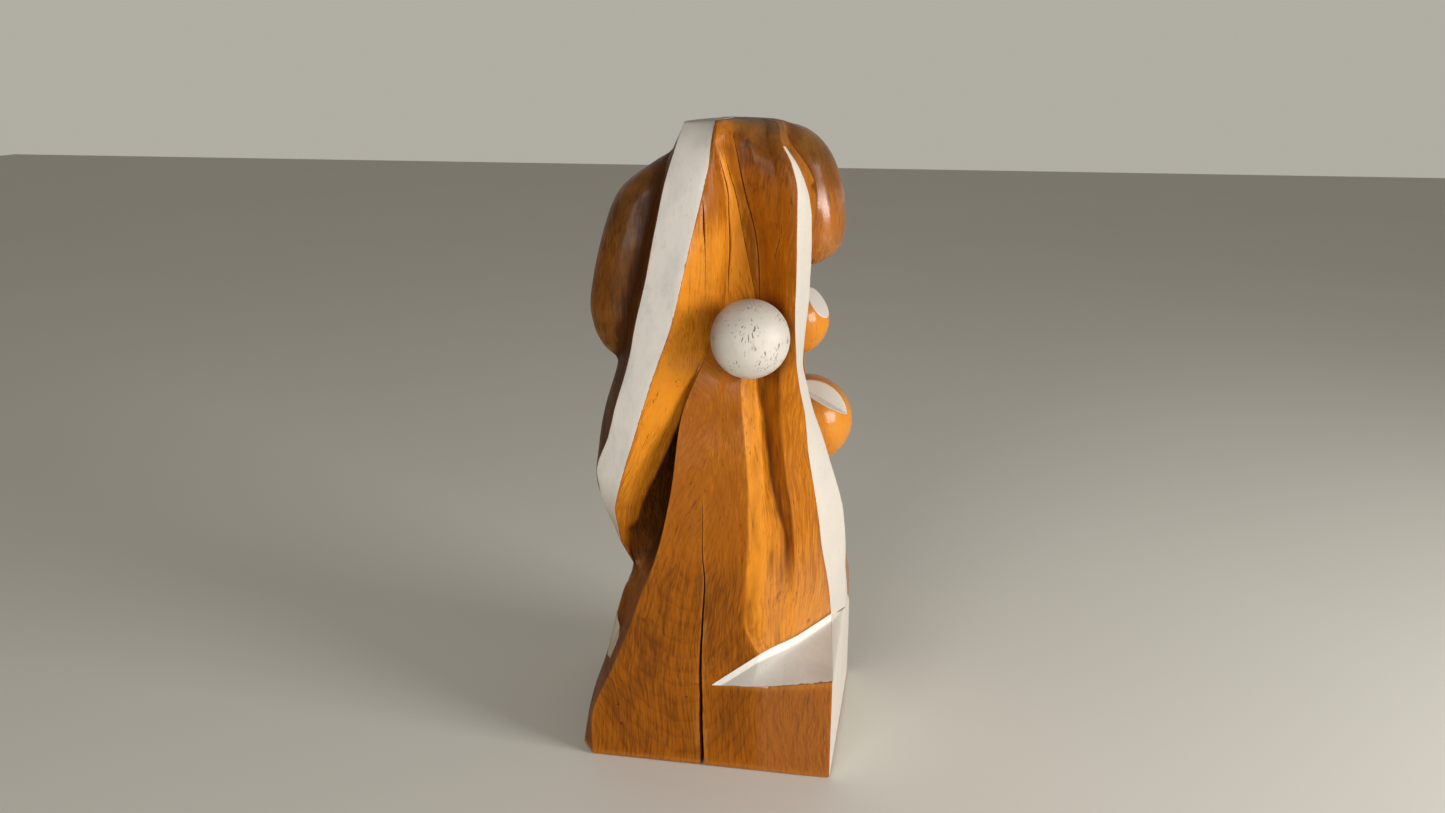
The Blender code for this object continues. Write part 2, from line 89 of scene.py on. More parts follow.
PAINT_OUT = 0.28           # how far paint stands off the wood
PAINT_EDGE_OUT = 0.126     # the same at its margin
PAINT_IN = 0.6             # how far its shell reaches into the wood

SHARP_ANGLE = math.radians(50)

# ---- carving -----------------------------------------------------------------------------------
# A rail that meets the corner shelf has its own short piece below it: the shelf's outer edge.
BELOW_SHELF = {
    "shelf_tip": [(0, 1.4, -51), (44, 1.4, -51)],
    "flute_left": [(0, 20, -51), (45, 20, -51)],
    "flute_ridge": [(0, 27, -51), (45.7, 27, -51)],
    "groove": [(0, 34, -51), (46.8, 34, -51)],
    "panel_left": [(0, 43, -51), (48.5, 43, -51)],
    "strip_left": [(0, 57.4, -50.6), (51, 57.6, -50.6)],
    "strip_right": [(0, 58, 14), (53.5, 58, 14)],
    "strip_bevel": [(0, 58, 16), (54, 58, 16)],
    "right_hollow": [(0, 58, 32), (54, 58, 32)],
}

# The rails are the carved edges, going round the block: front left edge, front, right, back, left.
# (name, spacing of columns to the next rail, outward swell to it, softness of the edge,
#  [(height, x, y) from the base up])
RAILS = [
    ("column_left", FRONT_STEP, 0.0, 0.4,
     [(0, -58, -51), (17, -58, -51), (50, -46, -51), (69, -38.5, -50.6), (82, -34, -50),
      (100, -27, -49), (116, -22.5, -47.5), (141, -18, -44.5), (168, -15, -40), (180, -11.5, -38.5),
      (192, -6.5, -37), (204, -2, -31), (222, 3, -27), (250, 4.6, -28), (267, 4.5, -29),
      (279, 2.3, -30), (290, 0, -31.2), (296, -0.3, -29), (299.7, 0, -25.3)]),
    ("shelf_tip", FRONT_STEP, 0.0, 0.4,
     [(44.3, 1.4, -51), (52, 1.8, -50), (62, 2.5, -48.8), (82, 3, -48.5), (98, 3, -48),
      (114, 3.5, -47), (138, 3.5, -44.5), (155, 3, -42.5), (168, 2.5, -40.3), (188, 2, -37.8),
      (200, 5, -31), (222, 9, -24.6), (250, 7.8, -25.4), (268, 6.5, -27), (279, 4, -28.5),
      (290, 1.4, -29.6), (296, 1.1, -28), (299.7, 1.6, -24.6)]),
    ("flute_left", FRONT_STEP, -0.3, 0.4,
     [(59.5, 23, -46), (63.7, 20.3, -46.6), (77, 15.8, -47.5), (98, 16.5, -47.5),
      (114, 17.2, -46.5), (138, 17, -44.5), (154, 15.5, -42.5), (175, 13, -39), (188, 12, -37),
      (202, 14, -29), (222, 16, -22.5), (236, 13.6, -22), (252, 10.6, -23), (267, 8, -25),
      (283, 3.8, -27.5), (291, 2.6, -28), (296, 2.6, -26.8), (299.7, 3.4, -23.4)]),
    ("flute_ridge", FRONT_STEP, -0.4, 0.9,
     [(60, 28, -39.5), (75, 23.5, -43), (97, 24, -41.5), (113, 24.3, -41), (132, 23.8, -39),
      (153, 22.2, -36), (172, 20.5, -34), (188, 18.5, -33), (202, 18.5, -27), (222, 18, -22),
      (246, 16.5, -21), (258, 14.3, -22), (269, 11.5, -24), (283, 8.8, -26), (290, 7.4, -26),
      (295, 6.6, -24.8), (298, 6.8, -23), (299.7, 7.4, -20.4)]),
    ("groove", FRONT_STEP, 0.0, 0.8,
     [(60, 33, -33), (78, 32.6, -33), (95, 33.2, -32.2), (109, 33.4, -31.6), (129, 28.6, -31.5),
      (140, 26.2, -31), (156, 24.3, -30), (172, 22.5, -29.5), (183, 21.2, -29), (202, 23, -28),
      (222, 24, -26), (246, 22.5, -25.5), (269, 19.5, -26.8), (283, 16, -27), (290, 14.4, -26),
      (295, 13.4, -23.6), (298, 13, -20.4), (299.6, 12.8, -16.6)]),
    ("panel_left", FRONT_STEP, 0.6, 0.6,
     [(60, 38, -26), (75, 38, -29.4), (94, 37.5, -31.4), (114, 36.6, -34), (127, 35.4, -34),
      (139, 33.4, -34), (154, 31.5, -34), (171, 29.6, -34.5), (190, 29.4, -36), (205, 29, -34),
      (222, 29.5, -31.5), (246, 28.5, -30.5), (269, 27, -29.5), (280, 24.8, -28),
      (288, 22.4, -25.6), (294, 20.6, -21.4), (297.5, 19.6, -16.6), (299.4, 19, -11.6)]),
    ("strip_left", FRONT_STEP, 0.4, 0.4,
     [(61, 52.4, -2), (83, 50.7, -9), (101, 48.2, -14), (114, 46.8, -17), (134, 44.1, -21),
      (154, 41.5, -25), (174, 39.8, -30), (186, 37.8, -33), (199, 36.4, -35.5), (217, 35.4, -36),
      (232, 35.7, -36), (254, 35.4, -34), (270, 35.2, -32), (283, 31.8, -29), (290, 27.6, -27),
      (294.5, 25.4, -23), (297.5, 24.4, -16.4), (299.2, 23.4, -10)]),
    ("strip_right", FRONT_STEP, 0.0, 0.4,
     [(57.5, 58, 14), (84, 58, 6), (103, 57.4, 3), (116, 56.4, 0), (124, 55, -2), (139, 50.9, -5),
      (155, 46.5, -8), (168, 42.4, -11), (180, 39.4, -13), (193, 36.7, -15), (205, 37.6, -16),
      (225, 39.4, -16), (249, 40.1, -18), (257, 40.1, -20), (267, 39.2, -22), (274, 37.3, -24),
      (280, 35, -26), (290, 28.6, -26.4), (294.5, 26.6, -22.4), (297.5, 25.8, -15.6),
      (299.2, 25, -9)]),
    ("strip_bevel", BACK_STEP, 0.0, 1.2,
     [(57, 58, 16), (84, 57.8, 8), (103, 57, 5), (124, 54, 1), (155, 45.5, -5.5),
      (180, 38.6, -10.5), (205, 37, -13.5), (225, 38.6, -13.5), (249, 40.2, -15), (262, 42, -16),
      (274, 41.2, -18), (280, 38.6, -19.5), (285, 34.8, -21.5), (291, 30, -22.4), (295, 27.8, -19),
      (299.2, 26.4, -7)]),
    ("right_hollow", BACK_STEP, 0.0, 4.0,
     [(56, 58, 32), (75, 56, 30), (104, 45, 26), (130, 33, 23), (155, 27, 21), (190, 24, 18),
      (230, 26, 12), (260, 30, 6), (285, 30, -2), (298, 27, 0)]),
    ("back_right", BACK_STEP, -1.5, 0.9,
     [(0, 58, 51), (56, 58, 50), (80, 54, 48), (104, 48, 47), (150, 37, 45.5), (190, 30, 39),
      (230, 30, 34), (270, 29, 27), (290, 25, 18), (298, 21, 9)]),
    ("back_right_valley", BACK_STEP, 0.5, 4.0,
     [(0, 30, 51), (38, 30, 51), (64, 27, 45), (104, 24, 35), (150, 20, 31), (200, 17, 27),
      (250, 16, 24), (280, 15, 20), (298, 13, 10)]),
    ("back_ridge", BACK_STEP, 0.5, 1.0,
     [(0, 0, 51), (38, 0, 51), (64, 1, 50), (104, 2, 48), (150, 4, 46), (200, 5, 42), (250, 6, 36),
      (280, 7, 27), (298, 7, 13)]),
    ("back_left_valley", BACK_STEP, -1.5, 4.0,
     [(0, -30, 51), (38, -30, 51), (64, -27, 45), (104, -25, 35), (150, -23, 30), (200, -17, 27),
      (250, -9, 25), (280, -3, 20), (298, 1, 10)]),
    ("back_left", BACK_STEP, 2.5, 0.9,
     [(0, -64, 51), (13, -63.5, 51), (50, -54, 49), (86, -46, 45), (104, -46, 43), (131, -53, 41),
      (155, -53, 39), (190, -45, 37), (230, -36, 33), (270, -24, 27), (290, -14, 18),
      (298, -8, 8)]),
    ("wing_side", FRONT_STEP, 0.5, 1.5,
     [(0, -66, 6), (13, -65, 6), (50, -55.5, 2), (86, -46, -4), (98, -46.5, -7), (110, -52, -11),
      (122, -58.3, -14.5), (131, -61.2, -16), (149, -60, -15.5), (167, -56.4, -16), (190, -49, -18),
      (208, -46, -19), (221, -44.8, -19), (240, -39.5, -18.5), (265, -32, -17.5), (287, -21.5, -17),
      (297.5, -15.5, -14)]),
    ("band_left", FRONT_STEP, 0.3, 0.4,
     [(0, -66, -14), (13, -65, -14), (50, -55, -18), (86, -43, -25), (95, -40.5, -29),
      (102, -42.3, -33), (108.5, -45, -36.5), (114.6, -49, -33), (120, -53, -30), (126, -56.6, -27),
      (137, -58.6, -25), (157.5, -50.7, -31), (173.5, -46, -34), (195, -39, -36), (214, -35, -36),
      (232, -30.5, -35), (254, -26.5, -33), (273, -22.8, -30), (289, -18.4, -26),
      (298.8, -15.4, -22)]),
    ("band_right", FRONT_STEP, 1.0, 0.4,
     [(0, -66, -28), (13, -65, -28), (50, -53, -31), (86, -42, -36), (93.5, -37, -38.4),
      (102, -41, -38.3), (108, -44, -38), (116, -45.4, -38.2), (124, -46.4, -38.6), (131, -45, -40),
      (153, -38, -44), (178, -29.7, -47), (199, -22.3, -48.5), (213, -17, -49), (231, -12.5, -48),
      (255, -7.6, -43), (271, -4.2, -39), (284, -2, -35.5), (291, -1.8, -32.6), (296, -1.4, -29.4),
      (299.7, -1, -25.6)]),
    ("wing_edge", FRONT_STEP, 0.0, 1.5,
     [(0, -65.6, -36), (13, -64, -36), (50, -51.8, -37.5), (86, -41.2, -39), (93.5, -36.6, -38.8),
      (104, -39.5, -37.2), (113, -40, -36.3), (119, -37.3, -35.3), (127, -34.5, -34),
      (135, -31, -33), (142, -27.6, -32), (150, -23.7, -31.5), (160, -19.6, -32), (167, -16.9, -33),
      (180, -12.9, -34.6), (192, -7.7, -36), (204, -3, -31), (222, 2.4, -27.2), (250, 4, -28.3),
      (267, 3.9, -29.3), (279, 1.8, -30.5), (290, -0.4, -31.6), (296, -0.8, -29.2),
      (299.7, -0.6, -25.5)]),
    ("recess", FRONT_STEP, 0.0, 0.7,
     [(0, -65, -42), (13, -63, -40.5), (30, -58, -40), (50, -50.8, -40), (67, -44.6, -40),
      (86, -40.2, -40), (94, -35.8, -40), (104, -30, -33), (120, -25, -24), (140, -20.5, -20),
      (155, -17.6, -23), (165, -16, -29), (180, -12.2, -35.6), (192, -7.1, -36), (204, -2.5, -30.6),
      (222, 2.7, -26.9), (250, 4.3, -27.9), (267, 4.2, -29), (279, 2, -30), (290, -0.2, -31.3),
      (296, -0.6, -29), (299.7, -0.3, -25.4)]),
]
RAIL_NAMES = [rail[0] for rail in RAILS]
RAIL_POINTS = {rail[0]: rail[-1] for rail in RAILS}

# The drying check in the front of the base: (height, x, width, depth).
CHECK = [(-1, -3.5, 1.9, 14), (20, -3.8, 1.8, 13), (37, -4, 1.6, 13), (63, -4.2, 1.2, 11),
         (75, -3.4, 0.9, 9), (86, -2.6, 0.8, 8), (96, -2.4, 0.65, 7), (108, -3.4, 0.45, 5),
         (120, -3.6, 0.35, 4), (134, -3.9, 0.15, 1.5)]

# Short splits: (rail, [(height, share of the patch, width)], depth).
SPLITS = [
    ("band_right", [(268, 0.10, 0.1), (262, 0.22, 0.9), (256, 0.30, 1.1), (250, 0.38, 0.5),
                    (240, 0.47, 0.2), (226, 0.56, 0.1)], 5.0),
    ("panel_left", [(262, 0.06, 0.1), (254, 0.08, 0.5), (247, 0.02, 0.2)], 1.8),
    ("groove", [(252, 0.9, 0.1), (246, 0.6, 0.6), (240, 0.35, 0.1)], 1.6),
    ("strip_right", [(278, 0.9, 0.1), (275, 1.0, 0.5), (271, 1.0, 0.1)], 1.2),
    ("column_left", [(286, 0.30, 0.2), (272, 0.34, 0.8), (262, 0.22, 0.6), (248, 0.34, 1.0),
                     (236, 0.20, 0.8), (226, 0.25, 0.1)], 0.8),
    ("flute_left", [(292, 0.0, 0.1), (272, 0.04, 0.4), (250, 0.0, 0.5), (228, 0.0, 0.1)], 0.5),
    ("flute_ridge", [(294, 0.0, 0.1), (280, 0.03, 0.6), (262, 0.0, 0.8), (240, 0.04, 0.7),
                     (220, 0.0, 0.2)], 0.7),
]

# Chisel cuts: (rail, height, share, length, width, depth, lean from upright in degrees).
CHISEL_CUTS = [
    ("wing_side", 272, 0.55, 15, 2.6, 1.1, -24),
    ("wing_side", 263, 0.62, 16, 2.2, 0.9, -20),
    ("wing_side", 252, 0.70, 12, 1.6, 0.6, -16),
    ("column_left", 265, 0.5, 3.4, 2.2, 1.3, 40),
    ("column_left", 259, 0.7, 4.5, 1.6, 0.7, 70),
    ("shelf_tip", 229, 0.45, 7.5, 4.0, 1.3, 74),
    ("shelf_tip", 239, 0.25, 4.5, 1.6, 0.6, 60),
]

# The swelling lobes: (height, left x, right x, front y, back y).
LEFT_LOBE = [(191, -51, -36, -19, 10), (197, -58, -32, -23, 18), (205, -62, -30, -25.5, 23),
             (216, -63.6, -28, -27, 26), (230, -61.8, -26, -27, 27.5), (245, -58, -22, -26.5, 27.5),
             (260, -53, -18, -25, 26), (268, -49, -14, -24, 23.5), (275, -41.5, -12, -22, 20),
             (281, -32, -10, -20, 14), (286, -23, -8, -17, 6)]
CROWN_LOBE = [(236, 22, 42, -10, 18), (239.5, 18, 48.2, -13, 24), (245, 14, 51.8, -15.5, 28),
              (253, 10, 53, -17, 31), (262, 8, 52.4, -18, 32), (272, 4, 50.3, -18.5, 30.5),
              (280, 0, 47.8, -18.5, 27), (287, -3, 43.9, -18, 22), (293, -4, 38.4, -16, 16),
              (297, -3, 32, -13, 11), (299.6, 0, 24, -9, 5)]
LOBE_SQUARENESS = 2.6      # 2 is an ellipse, more is squarer

# How dark each face is painted, from 0 for honey to 1 for dark brown: (height, tone).
# Partly the wood's own tone and partly painted shade: the recess, the plane beside the left lobe, the
# groove's dark wall and the faces at the top by the crown are darker where less light falls.
WOOD_TONE_AND_SHADE = {
    "column_left": [(0, 0.74), (70, 0.76), (95, 0.78), (112, 0.54), (190, 0.50), (204, 0.40),
                    (235, 0.05), (280, 0.05), (298, 0.55)],
    "shelf_tip": [(0, 0.70), (44, 0.72), (60, 0.76), (95, 0.76), (112, 0.52), (190, 0.50),
                  (204, 0.55), (235, 0.0), (280, 0.05), (298, 0.55)],
    "flute_left": [(0, 0.62), (44, 0.65), (60, 0.20), (100, 0.0), (190, 0.05), (204, 0.55),
                   (235, 0.42), (280, 0.45), (298, 0.65)],
    "flute_ridge": [(0, 0.62), (44, 0.65), (60, 0.20), (120, 0.20), (190, 0.25), (204, 0.55),
                    (240, 0.55), (274, 0.65), (290, 0.95), (300, 1.25)],
    "groove": [(0, 0.62), (44, 0.60), (60, 0.10), (95, 0.30), (110, 0.75), (190, 0.60),
               (204, 0.60), (270, 0.65), (290, 1.05), (300, 1.35)],
    "panel_left": [(0, 0.62), (44, 0.60), (60, 0.10), (90, 0.30), (120, 0.40), (180, 0.40),
                   (205, 0.30), (250, 0.48), (272, 0.62), (290, 1.10), (300, 1.40)],
    "strip_left": [(0, 0.5), (298, 0.5)],
    "strip_right": [(0, 0.5), (150, 0.45), (250, 0.45), (298, 0.75)],
    "strip_bevel": [(0, 0.5), (298, 0.6)],
    "right_hollow": [(0, 0.5), (298, 0.6)],
    "back_right": [(0, 0.6), (298, 0.6)],
    "back_right_valley": [(0, 0.6), (298, 0.55)],
    "back_ridge": [(0, 0.6), (298, 0.55)],
    "back_left_valley": [(0, 0.6), (298, 0.6)],
    "back_left": [(0, 0.8), (298, 0.9)],
    "wing_side": [(0, 1.40), (60, 1.30), (90, 1.20), (140, 1.30), (200, 1.45), (298, 1.5)],
    "band_left": [(0, 1.05), (298, 0.8)],
    "band_right": [(0, 0.95), (100, 1.00), (114, 0.52), (132, 0.22), (165, 0.08), (185, 0.0),
                   (250, 0.08), (268, 0.55), (298, 0.85)],
    "wing_edge": [(0, 1.3), (60, 1.25), (95, 1.15), (110, 1.3), (150, 1.3), (190, 0.80), (204, 0.40),
                  (250, 0.10), (298, 0.55)],
    "recess": [(0, 1.0), (95, 1.05), (110, 1.4), (160, 1.4), (190, 0.90), (204, 0.40),
               (250, 0.10), (298, 0.55)],
}
# The lobes' tones are partly painted shade too: the left lobe's face turned from the light, and the
# crown's top, which faces up.
LEFT_LOBE_TONE_AND_SHADE = [(190, 1.25), (225, 1.15), (245, 1.20), (270, 1.45), (290, 1.50)]
CROWN_LOBE_TONE_AND_SHADE = [(235, 0.9), (255, 0.60), (268, 0.78), (280, 1.25), (292, 1.5), (300, 1.5)]


def smooth_curve(points, heights):
    """Values of a curve through points (height first), without overshoot between them."""
    table = np.array(points, float)
    z, values = table[:, 0], table[:, 1:]
    step = np.diff(z)
    slope = np.diff(values, axis=0) / step[:, None]
    tangent = np.zeros_like(values)
    tangent[0], tangent[-1] = slope[0], slope[-1]
    for i in range(1, len(z) - 1):
        before, after = slope[i - 1], slope[i]
        same = before * after > 0
        w1, w2 = 2 * step[i] + step[i - 1], step[i] + 2 * step[i - 1]
        safe_before = np.where(same, before, 1.0)
        safe_after = np.where(same, after, 1.0)
        mean = (w1 + w2) / (w1 / safe_before + w2 / safe_after)
        tangent[i] = np.where(same, mean, 0.0)
    heights = np.clip(np.atleast_1d(heights), z[0], z[-1])
    k = np.clip(np.searchsorted(z, heights, side="right") - 1, 0, len(step) - 1)
    h = step[k][:, None]
    t = ((heights - z[k]) / step[k])[:, None]
    return ((1 + 2 * t) * (1 - t) ** 2 * values[k] + t * (1 - t) ** 2 * h * tangent[k]
            + t * t * (3 - 2 * t) * values[k + 1] + t * t * (t - 1) * h * tangent[k + 1])


# ---- skin of the block -------------------------------------------------------------------------
def rail_curve(name):
    """One rail's points, ring by ring: base, shelf, upper part."""
    points = RAIL_POINTS[name]
    upper_from = points[0][0] if name in BELOW_SHELF else SHELF_LOW + SHELF_STEP
    lower = BELOW_SHELF.get(name, points)
    lower_to = lower[-1][0] if name in BELOW_SHELF else SHELF_LOW
    base_z = np.concatenate([[0.0], np.linspace(BOTTOM_BEVEL, lower_to, BASE_RINGS - 1)])
    base = np.column_stack([smooth_curve(lower, base_z), base_z])
    inner = np.array([*smooth_curve(points, upper_from)[0], upper_from])
    share = 1 - (1 - np.linspace(0, 1, SHELF_RINGS + 1)[1:]) ** 2
    shelf = base[-1] + (inner - base[-1]) * share[:, None]
    width = np.linalg.norm(inner[:2] - base[-1, :2])
    cove = np.clip(1 - (1 - share) * width / COVE_WIDTH, 0, 1) ** 2
    shelf[:, 2] = base[-1, 2] + (inner[2] - base[-1, 2]) * (SHELF_SLOPE * share
                                                            + (1 - SHELF_SLOPE) * cove)
    upper_z = np.linspace(upper_from, points[-1][0], UPPER_RINGS + 1)[1:]
    upper = np.column_stack([smooth_curve(points, upper_z), upper_z])
    return np.concatenate([base, shelf, upper])


def patch(left, right, step, swell):
    """The columns from one rail up to the next, closer together beside the rails."""
    chord = right - left
    widest = np.linalg.norm(chord[:, :2], axis=1).max()
    count = max(2, round(widest / step))
    near = min(EDGE_STEP / widest, 0.3 / count)
    shares = [0.0, near, *np.linspace(0, 1, count + 1)[1:-1], 1 - near]
    rise = np.clip((left[:, 2] - SHELF_LOW) / SWELL_RISE, 0, 1)
    outward = np.stack([chord[:, 1], -chord[:, 0]], axis=1)
    outward /= np.maximum(np.linalg.norm(outward, axis=1), 1e-9)[:, None]
    columns = []
    for u in shares:
        column = left + chord * u
        column[:, :2] += outward * (swell * rise * 4 * u * (1 - u))[:, None]
        columns.append(column)
    return columns


def blurred(section, times):
    for _ in range(times):
        section = 0.5 * section + 0.25 * (np.roll(section, 1, axis=0) + np.roll(section, -1, axis=0))
    return section


def soften_edges(skin, first_column):
    """Rounds each carved edge over its own width, less where other edges crowd it."""
    steps = np.linalg.norm(np.roll(skin, -1, axis=0) - skin, axis=2)
    along = np.concatenate([np.zeros((1, skin.shape[1])), np.cumsum(steps, axis=0)])
    total, along = along[-1], along[:-1]
    edges = along[[first_column[name] for name in RAIL_NAMES]]
    ahead = np.mod(np.roll(edges, -1, axis=0) - edges, total)
    room = 0.3 * np.minimum(ahead, np.roll(ahead, 1, axis=0))
    levels = ((0.75, 1), (1.6, 4), (9.0, 20))
    result, below = skin.copy(), 0.0
    for widest, times in levels:
        smooth = blurred(result, times)
        weight = np.zeros(skin.shape[:2])
        for i, (_, _, _, softness, _) in enumerate(RAILS):
            if below < softness <= widest:
                away = np.abs(along - edges[i])
                away = np.minimum(away, total - away)
                reach = np.maximum(np.minimum(softness, room[i]), 0.05)
                crowding = np.minimum(1, reach / softness)
                weight = np.maximum(weight, crowding * np.exp(-(away / reach) ** 2))
        result += (smooth - result) * weight[:, :, None]
        below = widest
    result[:, :, 2] = skin[:, :, 2]
    return result


def block_skin():
    """The skin as an array [column, ring, xyz], and each rail's column."""
    rails = [rail_curve(name) for name in RAIL_NAMES]
    columns, first_column = [], {}
    for i, (name, step, swell, _, _) in enumerate(RAILS):
        first_column[name] = len(columns)
        columns += patch(rails[i], rails[(i + 1) % len(rails)], step, swell)
    skin = soften_edges(np.array(columns), first_column)
    middle = skin[:, 1, :2].mean(axis=0)
    away = skin[:, 1, :2] - middle
    away /= np.linalg.norm(away, axis=1)[:, None]
    skin[:, 0, :2] = skin[:, 1, :2] - away * BOTTOM_BEVEL
    centre = np.array(CAP_CENTRE)
    shoulder, cap = skin[:, -1], []
    for k in range(1, CAP_RINGS + 1):
        u = k / (CAP_RINGS + 1)
        ring = shoulder + (centre - shoulder) * u
        ring[:, 2] = shoulder[:, 2] + (centre[2] - shoulder[:, 2]) * (1 - (1 - u) ** 3)
        cap.append(ring)
    return np.concatenate([skin, np.stack(cap, axis=1)], axis=1), first_column


SKIN, FIRST_COLUMN = block_skin()


def skin_at(column, ring):
    """A point of the skin at any fractional column and ring."""
    column = np.mod(np.asarray(column, float), len(SKIN))
    ring = np.clip(np.asarray(ring, float), 0, SKIN.shape[1] - 1)
    c0, r0 = np.floor(column).astype(int) % len(SKIN), np.floor(ring).astype(int)
    c1, r1 = (c0 + 1) % len(SKIN), np.minimum(r0 + 1, SKIN.shape[1] - 1)
    u, v = (column % 1)[..., None], (ring - r0)[..., None]
    low = SKIN[c0, r0] * (1 - u) + SKIN[c1, r0] * u
    high = SKIN[c0, r1] * (1 - u) + SKIN[c1, r1] * u
    return low * (1 - v) + high * v


def column_at(rail, share):
    """The fractional column at a share of the way from a rail to the next one."""
    start = FIRST_COLUMN[rail]
    following = RAIL_NAMES[(RAIL_NAMES.index(rail) + 1) % len(RAIL_NAMES)]
    return start + share * ((FIRST_COLUMN[following] - start) % len(SKIN))


def ring_at(column, height):
    """The fractional ring where a column reaches a height."""
    z = skin_at(np.full(SKIN.shape[1], column), np.arange(SKIN.shape[1]))[:, 2]
    return float(np.interp(height, z, np.arange(len(z))))


def surface_spot(rail, height, share):
    """A point on the skin with its outward and upward directions."""
    column = column_at(rail, share)
    ring = ring_at(column, height)
    spot = Vector(skin_at(column, ring))
    along = Vector(skin_at(column, ring + 1) - skin_at(column, ring - 1)).normalized()
    across = Vector(skin_at(column + 0.6, ring) - skin_at(column - 0.6, ring)).normalized()
    return spot, across.cross(along).normalized(), along


# ---- meshes ------------------------------------------------------------------------------------
def new_piece(name, points, faces):
    mesh = bpy.data.meshes.new(name)
    mesh.from_pydata((np.asarray(points, float) * MM).tolist(), [], faces)
    mesh.validate()
    mesh.shade_smooth()
    piece = bpy.data.objects.new(name, mesh)
    bpy.context.scene.collection.objects.link(piece)
    return piece


def ring_mesh(name, rings, low_point=None, high_point=None):
    """A closed mesh through closed rings; each end is one flat face or a fan to a point."""
    rings = np.asarray(rings, float)
    rows, count = rings.shape[:2]
    points = rings.reshape(-1, 3).tolist()
    faces = []
    for r in range(rows - 1):
        for i in range(count):
            j = (i + 1) % count
            faces.append((r * count + i, r * count + j, (r + 1) * count + j, (r + 1) * count + i))
    for start, point, up in ((0, low_point, False), ((rows - 1) * count, high_point, True)):
        rim = list(range(start, start + count))
        rim = rim if up else rim[::-1]
        if point is None:
            faces.append(tuple(rim))
            continue
        points.append(list(point))
        tip = len(points) - 1
        faces += [(rim[i], rim[(i + 1) % count], tip) for i in range(count)]
    return new_piece(name, points, faces)


def turned(name, profile, centre, axis, sides):
    """A body turned round an axis; profile is (place along the axis, radius) from pole to pole."""
    turn = axis.to_track_quat("Z", "Y").to_matrix()
    rings = []
    for z, r in profile[1:-1]:
        angles = np.arange(sides) * 2 * math.pi / sides
        ring = [centre + turn @ Vector((r * math.cos(a), r * math.sin(a), z)) for a in angles]
        rings.append([tuple(p) for p in ring])
    ends = [tuple(centre + turn @ Vector((0, 0, profile[k][0]))) for k in (0, -1)]
    return ring_mesh(name, rings, ends[0], ends[1])


def lobe(name, profile, rows, sides):
    """A swelling form through level, squarish oval sections."""
    heights = np.linspace(profile[0][0], profile[-1][0], rows)
    angle = np.arange(sides) * 2 * math.pi / sides
    c, s = np.cos(angle), np.sin(angle)
    across = np.sign(c) * np.abs(c) ** (2 / LOBE_SQUARENESS)
    along = np.sign(s) * np.abs(s) ** (2 / LOBE_SQUARENESS)
    rings = []
    for z, (x0, x1, y0, y1) in zip(heights, smooth_curve(profile, heights)):
        rings.append(np.column_stack([0.5 * (x0 + x1) + 0.5 * (x1 - x0) * across,
                                      0.5 * (y0 + y1) + 0.5 * (y1 - y0) * along,
                                      np.full(sides, z)]))
    low, high = rings[0].mean(axis=0), rings[-1].mean(axis=0)
    low[2] -= 0.8
    high[2] += 0.3
    return ring_mesh(name, rings, low, high)


def join(name, pieces):
    """One object that holds the meshes of several separate bodies."""
    points, faces = [], []
    for piece in pieces:
        start = len(points)
        points += [tuple(v.co / MM) for v in piece.data.vertices]
        faces += [tuple(start + i for i in f.vertices) for f in piece.data.polygons]
        bpy.data.objects.remove(piece, do_unlink=True)
    return new_piece(name, points, faces)


def apply_modifier(piece):
    graph = bpy.context.evaluated_depsgraph_get()
    made = bpy.data.meshes.new_from_object(piece.evaluated_get(graph))
    piece.modifiers.clear()
    piece.data = made


def combine(piece, helper, operation):
    """Joins or cuts piece with helper, which is used up."""
    step = piece.modifiers.new(operation, "BOOLEAN")
    step.operation, step.solver, step.object = operation, "EXACT", helper
    apply_modifier(piece)
    bpy.data.objects.remove(helper, do_unlink=True)


def bevel_cut_edges(piece, width):
    step = piece.modifiers.new("bevel", "BEVEL")
    step.width, step.segments = width * MM, 3
    step.limit_method, step.angle_limit = "ANGLE", math.radians(28)
    apply_modifier(piece)


def points_of(mesh):
    flat = np.zeros(len(mesh.vertices) * 3)
    mesh.vertices.foreach_get("co", flat)
    return flat.reshape(-1, 3) / MM


def move_points(mesh, points):
    mesh.vertices.foreach_set("co", (points * MM).ravel())
    mesh.update()


def normals_of(mesh):
    flat = np.zeros(len(mesh.vertices) * 3)
    mesh.vertex_normals.foreach_get("vector", flat)
    return flat.reshape(-1, 3)


def neighbour_mean(mesh, values):
    """The mean of each vertex's neighbours, for values of shape [vertex, n]."""
    ends = np.zeros(len(mesh.edges) * 2, int)
    mesh.edges.foreach_get("vertices", ends)
    a, b = ends.reshape(-1, 2).T
    count = len(mesh.vertices)
    degree = np.maximum(np.bincount(a, minlength=count) + np.bincount(b, minlength=count), 1)
    mean = [(np.bincount(a, values[b, k], count) + np.bincount(b, values[a, k], count)) / degree
            for k in range(values.shape[1])]
    return np.column_stack(mean)


def smoothstep(low, high, value):
    t = np.clip((value - low) / (high - low), 0, 1)
    return t * t * (3 - 2 * t)


def wave(points, scale, seed):
    """Smooth noise from -1 to 1; scale is its wavelength along x, y and z."""
    scaled = points / np.array(scale) + seed * 17.3
    return np.array([noise.noise(Vector(p)) for p in scaled])


def tool_marks(points):
    """How far the knife left each point of the wood above or below the smooth form."""
    plain = 1 - 0.7 * smoothstep(70, 40, points[:, 2])
    broad = 0.34 * wave(points, (11, 11, 24), 1)
    narrow = 0.11 * wave(points, (3.2, 3.2, 9), 2)
    return (broad + narrow) * plain


def surface_search(piece):
    points = [v.co / MM for v in piece.data.vertices]
    return BVHTree.FromPolygons(points, [tuple(f.vertices) for f in piece.data.polygons])


